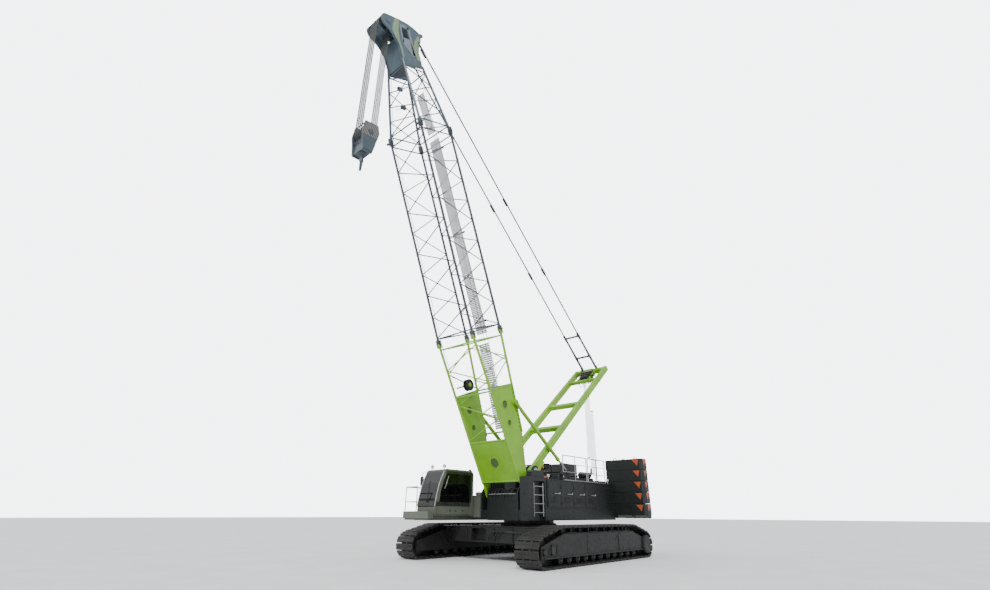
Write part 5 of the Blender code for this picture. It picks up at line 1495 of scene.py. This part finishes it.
    def rigging(self) -> None:
        """The cable reel, lamp brackets, guide rollers and the cable clipped to a chord."""
        reel = Shape(self.place)
        s, d, y = 4.51, 0.20, -0.80
        for way in (-1, 1):
            reel.turned([(0.245, y + way * 0.07), (0.25, y + way * 0.08), (0.245, y + way * 0.09)],
                        (s, 0, d), "y", 36)
        reel.turned([(0.17, y - 0.07), (0.17, y + 0.07)], (s, 0, d), "y", 28)
        reel.box((s - 0.03, y - 0.13, d - 0.62), (s + 0.03, y - 0.10, d + 0.10))
        reel.box((s - 0.10, y - 0.15, d - 0.03), (s + 0.10, y - 0.08, d + 0.03))
        reel.piece("cable_reel", Coat.PLASTIC, Body.BOOM, 0.003)
        hub = Shape(self.place)
        hub.turned([(0.09, y + 0.085), (0.095, y + 0.10), (0.06, y + 0.125), (0.03, y + 0.13)],
                   (s, 0, d), "y", 28)
        hub.piece("reel_hub", Coat.LIME, Body.BOOM, 0.002)
        cable = Shape(self.place)
        path = [(s, y, d + 0.18)]
        for k in range(30):
            at = 5.0 + k * (18.4 - 5.0) / 29
            c = self.chord(-1, -1, at)
            path.append((at, c.y + 0.085, c.z + 0.075 + 0.012 * math.sin(k * 2.1)))
        cable.sweep(path, 0.011, 6)
        cable.piece("limit_switch_cable", Coat.PLASTIC, Body.BOOM)
        gear = Shape(self.place)
        for side in (-1, 1):
            c = self.chord(side, -1, 15.32)
            gear.sweep([(c.x, c.y, c.z - 0.04), (c.x, c.y + side * 0.02, c.z - 0.19)], 0.018, 8)
            gear.turned([(0.04, -0.05), (0.05, 0.0), (0.04, 0.05)],
                        (c.x, c.y + side * 0.02, c.z - 0.20), "x", 16)
        for at, span in ((16.9, 0.36), (17.75, 0.30)):
            gear.box((at - 0.08, -span, -0.34), (at + 0.08, -span + 0.12, -0.10))
            gear.sweep([(at, -span + 0.06, -0.36), (at, -span + 0.06, -0.10),
                        (at, -0.60, -0.42)], 0.016, 8)
        for at in (7.0, 11.0, 15.0):
            z = self.rear + 0.045
            gear.turned([(0.035, -0.30), (0.045, -0.29), (0.045, 0.29), (0.035, 0.30)],
                        (at, 0, z + 0.03), "y", 20)
            for y0 in (-0.33, 0.31):
                gear.box((at - 0.03, y0, z - 0.06), (at + 0.03, y0 + 0.02, z + 0.07))
        gear.piece("boom_brackets", Coat.BOOM_GREY, Body.BOOM, 0.003)
        rope = Shape(self.place)
        for y0 in (-0.10, 0.10):
            rope.sweep([(0.9 + k * 1.95, y0 * (1 - k / 24), self.rear + 0.105 - 0.2 * max(0, 2 - k))
                        for k in range(10)] + [(20.2, y0 * 0.5, 0.98)], 0.011, 6)
        rope.piece("hoist_lead_ropes", Coat.ROPE, Body.BOOM)

    def head(self) -> None:
        """Green bands, light panels, edge rails and guards of the sheave head."""
        out = self.head_half + self.cheek
        green = Shape(self.place)
        pale = Shape(self.place)
        blue = Shape(self.place)
        for side in (-1, 1):
            y0, y1 = sorted((side * out, side * (out + 0.006)))
            green.prism([(18.62, -0.40), (19.36, -0.42), (19.72, -0.58), (20.02, -0.66),
                         (20.36, -0.50), (20.72, -0.30), (20.70, -0.06), (20.45, -0.16),
                         (20.05, -0.30), (19.62, -0.32), (18.9, -0.30)], y0, y1)
            green.prism([(18.95, 0.50), (19.45, 0.42), (19.92, 0.62), (20.30, 0.94),
                         (20.10, 1.02), (19.84, 0.86), (19.40, 0.72), (18.90, 0.70)], y0, y1)
            y0, y1 = sorted((side * out, side * (out + 0.012)))
            for pts in ([(19.52, -0.20), (20.50, -0.12), (20.50, -0.04), (19.60, -0.10)],
                        [(20.38, -0.06), (20.52, -0.06), (20.50, 0.42), (20.37, 0.40)],
                        [(19.10, 0.30), (19.82, 0.33), (20.50, 0.30), (20.48, 0.46), (19.6, 0.44),
                         (19.05, 0.46)],
                        [(19.52, -0.20), (19.84, -0.10), (19.86, 0.34), (19.10, 0.44),
                         (19.02, 0.30)]):
                pale.prism(pts, y0, y1)
            y = side * (self.head_half - 0.02)
            blue.sweep([(18.5, y, -0.44), (19.40, y, -0.455), (19.75, y, -0.635),
                        (20.02, y, -0.75)], 0.03, 8)
            blue.sweep([(20.74, y, -0.05), (20.72, y, 0.40), (20.64, y, 0.76), (20.49, y, 1.08)],
                       0.02, 8)
            blue.turned([(0.11, side * out), (0.11, side * (out + 0.03)),
                         (0.07, side * (out + 0.04))], (self.head_axis[0], 0, self.head_axis[1]),
                        "y", 28)
            blue.turned([(0.07, side * out), (0.07, side * (out + 0.03)),
                         (0.04, side * (out + 0.036))], (19.90, 0, 0.88), "y", 24)
        guard = (arc(self.head_axis, 0.350, -30, 5, 6) + arc(self.head_axis, 0.338, 5, -30, 6))
        blue.prism(guard, -self.head_half + 0.034, self.head_half - 0.034)
        green.prism([(20.02, 1.02), (20.36, 1.18), (20.22, 1.30)], 0.18, 0.20)
        green.piece("head_green_bands", Coat.HEAD_GREEN, Body.BOOM, 0.002)
        pale.piece("head_pale_panels", Coat.HEAD_PANEL, Body.BOOM, 0.002)
        blue.piece("head_edge_rails", Coat.HEAD_BLUE, Body.BOOM, 0.003)

    def build(self) -> None:
        """Makes everything on the boom."""
        self.joints()
        self.foot()
        self.grating()
        self.rigging()
        self.head()


# ------------------------------------------------------------------ hook
@dataclass
class HookGear:
    """Hoist falls, dressed sheaves, the striped block and the forged hook."""

    drop: float = 6.0
    sheave: float = 0.30
    pack: float = 0.52
    sheaves: int = 4
    half: float = 0.35
    rope: float = 0.0145
    turn: float = 60.0
    place: Matrix = field(init=False)

    def __post_init__(self) -> None:
        """Puts the frame on the head sheaves' axis, level."""
        self.place = frame_at(joint_at("head_sheaves_turn"))

    def falls(self) -> None:
        """Two parts of rope for each sheave, round the block's sheaves from below."""
        shape = Shape(self.place)
        reach = self.sheave + self.rope
        for k in range(self.sheaves):
            y = (k - (self.sheaves - 1) / 2) * self.pack / self.sheaves
            for shift in (-0.030, 0.030):
                low = arc((0, -self.drop), reach, 180, 360, 16)
                path = [(-reach, y + shift, -0.02)] + [(u, y + shift, v) for u, v in low]
                path.append((reach, y + shift, -0.02))
                shape.sweep(path, self.rope, 8)
        shape.piece("hoist_falls", Coat.ROPE, Body.BLOCK, replaces=["hoist_ropes"])

    def block(self) -> None:
        """Striped cheek plates, bolts, rope guards and the weight plates of the block."""
        z = -self.drop
        stripes = Shape(self.place)
        blue = Shape(self.place)
        for side in (-1, 1):
            y0, y1 = sorted((side * (self.half + 0.0005), side * (self.half + 0.008)))
            stripes.prism([(-0.30, z + 0.47), (-0.385, z + 0.15), (-0.33, z - 0.18),
                           (0.325, z - 0.26), (0.345, z - 0.12), (0.27, z + 0.38)], y0, y1)
            y0, y1 = sorted((side * (self.half - 0.002), side * (self.half + 0.022)))
            blue.prism([(-0.27, z - 0.46), (0.29, z - 0.50), (0.25, z - 0.90), (-0.17, z - 0.87)],
                       y0, y1)
            blue.turned([(0.12, side * self.half), (0.12, side * (self.half + 0.02)),
                         (0.06, side * (self.half + 0.035)), (0.03, side * (self.half + 0.04))],
                        (0, 0, z), "y", 28)
            blue.bolts([(x, side * (self.half + 0.02), z - h) for x, h in
                        ((-0.20, 0.54), (0.20, 0.56), (-0.12, 0.80), (0.16, 0.82))], "y", 0.018,
                       side * 0.02)
        for x, h in ((-0.33, 0.30), (0.31, 0.24), (-0.26, -0.45), (0.27, -0.42)):
            blue.sweep([(x, -self.half + 0.03, z + h), (x, self.half - 0.03, z + h)], 0.02, 10)
        blue.turned([(0.16, z - 0.90), (0.17, z - 0.93), (0.15, z - 0.965), (0.10, z - 0.975)],
                    (0.02, 0, 0), "z", 28)
        stripes.piece("block_stripes", Coat.STRIPES, Body.BLOCK, 0.002)
        blue.piece("block_fittings", Coat.BLOCK, Body.BLOCK, 0.003)

    def hook(self) -> None:
        """The forged hook with its nut and safety latch."""
        place = (self.place @ Matrix.Translation((0.02, 0, -self.drop - 0.90))
                 @ Matrix.Rotation(math.radians(self.turn), 4, "Z"))
        shape = Shape(place)
        rings = []
        for i in range(41):
            share = i / 40
            angle = math.radians(95 - 255 * share)
            thick = 0.086 - 0.048 * share + 0.012 * math.sin(math.pi * share)
            out = Vector((math.cos(angle), 0, math.sin(angle)))
            centre = out * 0.198 + Vector((0.02, 0, -0.50))
            ring = []
            for t in turns(24):
                flare = 0.80 - 0.16 * math.cos(t)
                ring.append(centre + (out * math.cos(t) + Vector((0, flare, 0)) * math.sin(t)) * thick)
            rings.append(ring)
        shape.loft(rings)
        shape.turned([(0.078, -0.08), (0.078, -0.10), (0.074, -0.20), (0.085, -0.33)],
                     (0, 0, 0), "z", 28)
        shape.turned([(0.105, -0.078), (0.11, -0.09), (0.11, -0.13), (0.10, -0.145)], (0, 0, 0),
                     "z", 8)
        shape.sweep([(-0.02, 0.0, -0.36), (-0.10, 0.0, -0.42), (-0.155, 0.0, -0.53)], 0.014, 10)
        shape.piece("hook_forging", Coat.BLOCK, Body.HOOK, replaces=["hook"], smooth=50)

    def sheave_faces(self, name: str, body: str, centre: Point, radius: float) -> None:
        """Dished webs with lightening holes between the rims of a pack of sheaves.

        Args:
            name: the piece's name.
            body: the body that the sheaves turn with.
            centre: the middle of the pack.
            radius: the sheaves' radius.
        """
        shape = Shape(frame_at(centre))
        for side in (-1, 1):
            y = side * (self.pack / 2 + 0.0008)
            shape.turned([(radius * 0.93, y), (radius * 0.93, y + side * 0.006),
                          (radius * 0.86, y + side * 0.008), (radius * 0.80, y + side * 0.001)],
                         (0, 0, 0), "y", 36)
            shape.turned([(radius * 0.42, y), (radius * 0.42, y + side * 0.016),
                          (radius * 0.30, y + side * 0.02)], (0, 0, 0), "y", 28)
            for a in turns(6):
                shape.turned([(radius * 0.11, y), (radius * 0.11, y + side * 0.003)],
                             (radius * 0.62 * math.cos(a), 0, radius * 0.62 * math.sin(a)), "y", 16)
        shape.piece(name, Coat.DARK_STEEL, body, 0.001)

    def build(self) -> None:
        """Makes the falls, the block, the hook and the sheaves' faces."""
        self.falls()
        self.block()
        self.hook()
        self.sheave_faces("head_sheave_webs", "head_sheaves", joint_at("head_sheaves_turn"),
                          self.sheave)
        self.sheave_faces("block_sheave_webs", "hook_sheaves", joint_at("hook_sheaves_turn"),
                          self.sheave)
        self.sheave_faces("mast_sheave_webs", "mast_sheaves", joint_at("mast_sheaves_turn"), 0.28)


# ------------------------------------------------------------------ mast and rigging
@dataclass
class Mast:
    """Pads, guards and steps on the mast, in its own frame."""

    half: float = 0.90
    width: float = 0.18
    place: Matrix = field(init=False)
    length: float = field(init=False)
    lean: float = field(init=False)

    def __post_init__(self) -> None:
        """Puts the frame on the mast's foot, along its legs."""
        foot, head = joint_at("mast_tilt"), joint_at("mast_sheaves_turn")
        self.lean = math.degrees(math.atan2(head.z - foot.z, head.x - foot.x))
        self.place = frame_at(foot, self.lean)
        self.length = (head - foot).length + 0.59

    def build(self) -> None:
        """Makes the pads, the rope guards and the rungs."""
        lime = Shape(self.place)
        grey = Shape(self.place)
        for side in (-1, 1):
            y = side * (self.half + self.width / 2)
            for s in (1.2, 3.17, 5.26, self.length - 1.14, self.length - 0.1):
                y0, y1 = sorted((y - side * 0.002, y + side * 0.010))
                lime.prism([(s - 0.16, -0.11), (s + 0.16, -0.11), (s + 0.16, 0.11),
                            (s - 0.16, 0.11)], y0, y1)
            for s in (3.17, 5.26):
                inner = side * (self.half - self.width / 2)
                lime.prism([(s - 0.30, inner), (s + 0.30, inner), (s + 0.08, inner - side * 0.24),
                            (s - 0.08, inner - side * 0.24)], -0.012, 0.012, "z")
            lime.turned([(0.10, y), (0.10, y + side * 0.012), (0.075, y + side * 0.016)],
                        (0, 0, 0), "y", 28)
            for s in (self.length - 1.05, self.length - 0.75, self.length - 0.35):
                y0, y1 = sorted((side * 0.345, side * 0.345 + side * 0.02))
                grey.box((s - 0.02, y0, -0.33), (s + 0.02, y1, 0.33))
            grey.turned([(0.09, side * 0.343), (0.09, side * 0.37), (0.05, side * 0.385)],
                        (self.length - 0.59, 0, 0), "y", 24)
            grey.turned([(0.065, side * 0.47), (0.065, side * 0.49), (0.04, side * 0.50)],
                        (self.length, 0, -0.24), "y", 20)
        for s in (self.length - 1.05, self.length - 0.75, self.length - 0.35):
            for z in (-0.32, 0.32):
                grey.sweep([(s, -0.36, z), (s, 0.36, z)], 0.014, 8)
        for s in (3.9, 4.4):
            grey.sweep([(s, self.half - 0.09, 0.05), (s, 0.70, 0.05), (s, 0.70, 0.12),
                        (s, self.half - 0.09, 0.12)], 0.011, 6)
        lime.piece("mast_pads", Coat.LIME, Body.MAST, 0.003)
        grey.piece("mast_rope_guards", Coat.DARK_STEEL, Body.MAST, 0.002)


@dataclass
class Rigging:
    """Luffing ropes, pendant links and the backstops' collars."""

    falls: float = 3.97
    step: float = 0.785
    sheave: float = 0.28
    rope: float = 0.0125
    tackle: tuple[float, float] = (-5.45, 2.35)
    pendant_y: float = 0.42

    def luffing_ropes(self) -> None:
        """Three runs of ropes between the mast head and the tackle, each a row of parts."""
        top = joint_at("luffing_rope_swing")
        origin = joint_at("slew")
        foot = Vector((origin.x + self.tackle[0], 0, self.tackle[1]))
        lean = math.degrees(math.atan2(foot.z - top.z, foot.x - top.x))
        for i, name in enumerate(("upper", "middle", "lower")):
            shape = Shape(frame_at(top, lean) @ Matrix.Translation((i * self.step, 0, 0)))
            y = (i - 1) * 0.165
            start = self.sheave + 0.0003
            for k in range(3):
                side = y + (k - 1) * 0.055
                shape.sweep([(start + (self.falls * j) / 8, side, 0.001 * math.sin(j))
                             for j in range(9)], self.rope, 8)
            for s in (start + 0.02, start + self.falls - 0.06):
                shape.box((s, y - 0.072, -0.0115), (s + 0.04, y + 0.072, 0.0115))
            shape.piece(f"luffing_falls_{name}", Coat.ROPE_DARK if i == 1 else Coat.ROPE,
                        f"luffing_ropes_{name}", replaces=[f"luffing_ropes_{name}"])

    def pendant_links(self) -> None:
        """Link plates, pins and sockets along both pendants."""
        pin = joint_at("pendant_swing")
        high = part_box("pendants")[1]
        lug = Vector((high.x, 0, high.z))
        lean = math.degrees(math.atan2(lug.z - 0.12 - pin.z, lug.x - 0.03 - pin.x))
        span = math.hypot(lug.x - pin.x, lug.z - pin.z)
        shape = Shape(frame_at(pin, lean))
        for side in (-1, 1):
            y = side * self.pendant_y
            for s in (0.75, 2.10, 6.2, 10.3, span - 0.45):
                for way in (-1, 1):
                    y0, y1 = sorted((y + way * 0.027, y + way * 0.042))
                    shape.prism([(s - 0.22, -0.03), (s - 0.17, -0.06), (s + 0.17, -0.06),
                                 (s + 0.22, -0.03), (s + 0.22, 0.03), (s + 0.17, 0.06),
                                 (s - 0.17, 0.06), (s - 0.22, 0.03)], y0, y1)
                for dx in (-0.14, 0.14):
                    shape.turned([(0.026, y - 0.055), (0.030, y - 0.05), (0.030, y + 0.05),
                                  (0.026, y + 0.055)], (s + dx, 0, 0), "y", 14)
        shape.piece("pendant_links", Coat.BOOM_GREY, Body.PENDANTS, 0.002)

    def backstops(self) -> None:
        """Gland nuts, bump rings and eye bosses of both backstops."""
        for hand in ("left", "right"):
            top = joint_at(f"backstop_tube_{hand}_swing")
            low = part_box(f"backstop_rod_{hand}")[0]
            eye = Vector((low.x + 0.06, top.y, low.z + 0.06))
            lean = math.degrees(math.atan2(eye.z - top.z, eye.x - top.x))
            place = frame_at(top, lean)
            shape = Shape(place)
            ends = ((0.10, 0.20), (1.70, 1.76), (3.40, 3.52))
            for near, far in ends:
                outer = [(0.0715, near), (0.084, near + 0.01), (0.084, far - 0.01), (0.0715, far)]
                inner = [(0.0705, far), (0.0705, near)]
                rings = [[(s, r * math.cos(t), r * math.sin(t)) for r, s in outer + inner]
                         for t in turns(28)]
                shape.loft(rings, closed=True)
            shape.sweep([(0.35, 0, 0.075), (0.45, 0, 0.10), (2.9, 0, 0.10), (3.0, 0, 0.076)],
                        0.010, 8)
            shape.piece(f"backstop_collars_{hand}", Coat.LIME, f"backstop_tube_{hand}", 0.002)

    def build(self) -> None:
        """Makes the ropes, the links and the collars."""
        self.luffing_ropes()
        self.pendant_links()
        self.backstops()


# ------------------------------------------------------------------ frame finishes and studio
NODE_COATS: dict[str, Coat] = {
    "car_body": Coat.UNDER, "track_frame": Coat.UNDER, "track": Coat.TRACK,
    "sprocket": Coat.TRACK, "idler": Coat.TRACK, "engine": Coat.DARK_STEEL,
    "engine_house": Coat.UPPER, "main_frame": Coat.UPPER, "door": Coat.UPPER,
    "front_box": Coat.UPPER, "ladder": Coat.GALVANISED, "handrail": Coat.GALVANISED,
    "hoist_drum": Coat.DARK_STEEL, "luffing_drum": Coat.DARK_STEEL, "counterweight": Coat.UPPER,
    "cab_shell": Coat.CAB, "cab_door": Coat.CAB, "cab_deck": Coat.CAB, "cab_railing": Coat.LIME,
    "windscreen": Coat.GLASS, "cab_glass": Coat.GLASS, "cab_door_glass": Coat.GLASS,
    "boom_base": Coat.LIME, "boom_insert": Coat.BOOM_GREY, "boom_top": Coat.HEAD_BLUE,
    "head_sheaves": Coat.HEAD_BLUE, "hook_sheaves": Coat.SHEAVE, "mast_sheaves": Coat.SHEAVE,
    "hook_block": Coat.BLOCK, "mast": Coat.LIME, "pendants": Coat.BOOM_GREY,
    "backstop_tube": Coat.LIME, "backstop_rod": Coat.GALVANISED,
}


def dress_frame() -> None:
    """Gives each kept node of the frame its finish, by the longest name that it starts with."""
    for name, node in frame["nodes"].items():
        keys = [key for key in NODE_COATS if name.startswith(key)]
        if not keys:
            continue
        node.data.materials.clear()
        node.data.materials.append(NODE_COATS[max(keys, key=len)].material())


@dataclass
class Studio:
    """The floor, the soft lights and the camera, low at the front left."""

    eye: tuple[float, float, float] = (15.792, 13.514, 1.615)
    heading: float = 220.84
    pitch: float = 23.95
    roll: float = 0.25
    lens: float = 17.91
    film_width: float = 36.0
    clip_end: float = 1000.0
    floor_size: float = 400.0
    surround_colour: tuple[float, float, float, float] = (0.93, 0.95, 1.0, 1.0)
    surround_light: float = 1.0
    surround_seen: float = 6.0
    lamps: tuple[Lamp, ...] = (("key", 2.2, (52, 0, 128), 12), ("fill", 0.6, (60, 0, 20), 40))

    def floor(self) -> None:
        """A wide pale floor with a fine grain."""
        shape = bmesh.new()
        bmesh.ops.create_grid(shape, x_segments=4, y_segments=4, size=self.floor_size / 2)
        mesh = bpy.data.meshes.new("studio_floor")
        shape.to_mesh(mesh)
        shape.free()
        floor = bpy.data.objects.new("studio_floor", mesh)
        bpy.context.scene.collection.objects.link(floor)
        tree = NodeTree("studio_floor_finish")
        tree.set(Base_Color=tree.mix(tree.ramp(tree.noise(0.6, 4), 0.4, 0.6), rgba((242, 242, 242)),
                                     rgba((236, 236, 236))), Roughness=0.9)
        mesh.materials.append(tree.material)

    def lights(self) -> None:
        """An even pale surround, a soft key from the front left and a weak fill."""
        world = bpy.data.worlds.new("studio_surround")
        bpy.context.scene.world = world
        world.use_nodes = True
        backdrop = world.node_tree.nodes["Background"]
        backdrop.inputs["Color"].default_value = self.surround_colour
        links, nodes = world.node_tree.links, world.node_tree.nodes
        seen = nodes.new("ShaderNodeLightPath")
        level = nodes.new("ShaderNodeMapRange")
        level.inputs["To Min"].default_value = self.surround_light
        level.inputs["To Max"].default_value = self.surround_seen
        links.new(seen.outputs["Is Camera Ray"], level.inputs["Value"])
        links.new(level.outputs["Result"], backdrop.inputs["Strength"])
        for name, energy, turn, spread in self.lamps:
            lamp = bpy.data.lights.new(name, "SUN")
            lamp.energy = energy
            lamp.angle = math.radians(spread)
            made = bpy.data.objects.new(name, lamp)
            made.rotation_euler = [math.radians(a) for a in turn]
            bpy.context.scene.collection.objects.link(made)

    def camera(self) -> None:
        """The camera, 1.6 m above the floor and tipped up at the boom."""
        lens = bpy.data.cameras.new("studio_camera")
        lens.lens = self.lens
        lens.sensor_width = self.film_width
        lens.clip_end = self.clip_end
        made = bpy.data.objects.new("studio_camera", lens)
        bpy.context.scene.collection.objects.link(made)
        turn = (Matrix.Rotation(math.radians(self.heading - 90), 4, "Z")
                @ Matrix.Rotation(math.radians(90 + self.pitch), 4, "X")
                @ Matrix.Rotation(math.radians(self.roll), 4, "Z"))
        made.matrix_world = Matrix.Translation(self.eye) @ turn
        bpy.context.scene.camera = made

    def build(self) -> None:
        """Sets up the whole studio."""
        self.floor()
        self.lights()
        self.camera()


def main() -> None:
    """Builds the crane's dressing in order, then the studio."""
    logging.basicConfig(level=logging.INFO, format="%(message)s", stream=sys.stdout)
    dress_frame()
    parts: list[Callable[[], None]] = [
        Crawler(1, "left").build, Crawler(-1, "right").build, CarBody().build,
        UpperWorks().build, Counterweight().build, Cab().build, Boom().build,
        HookGear().build, Mast().build, Rigging().build, Studio().build]
    for part in parts:
        part()


if __name__ == "__main__":
    main()
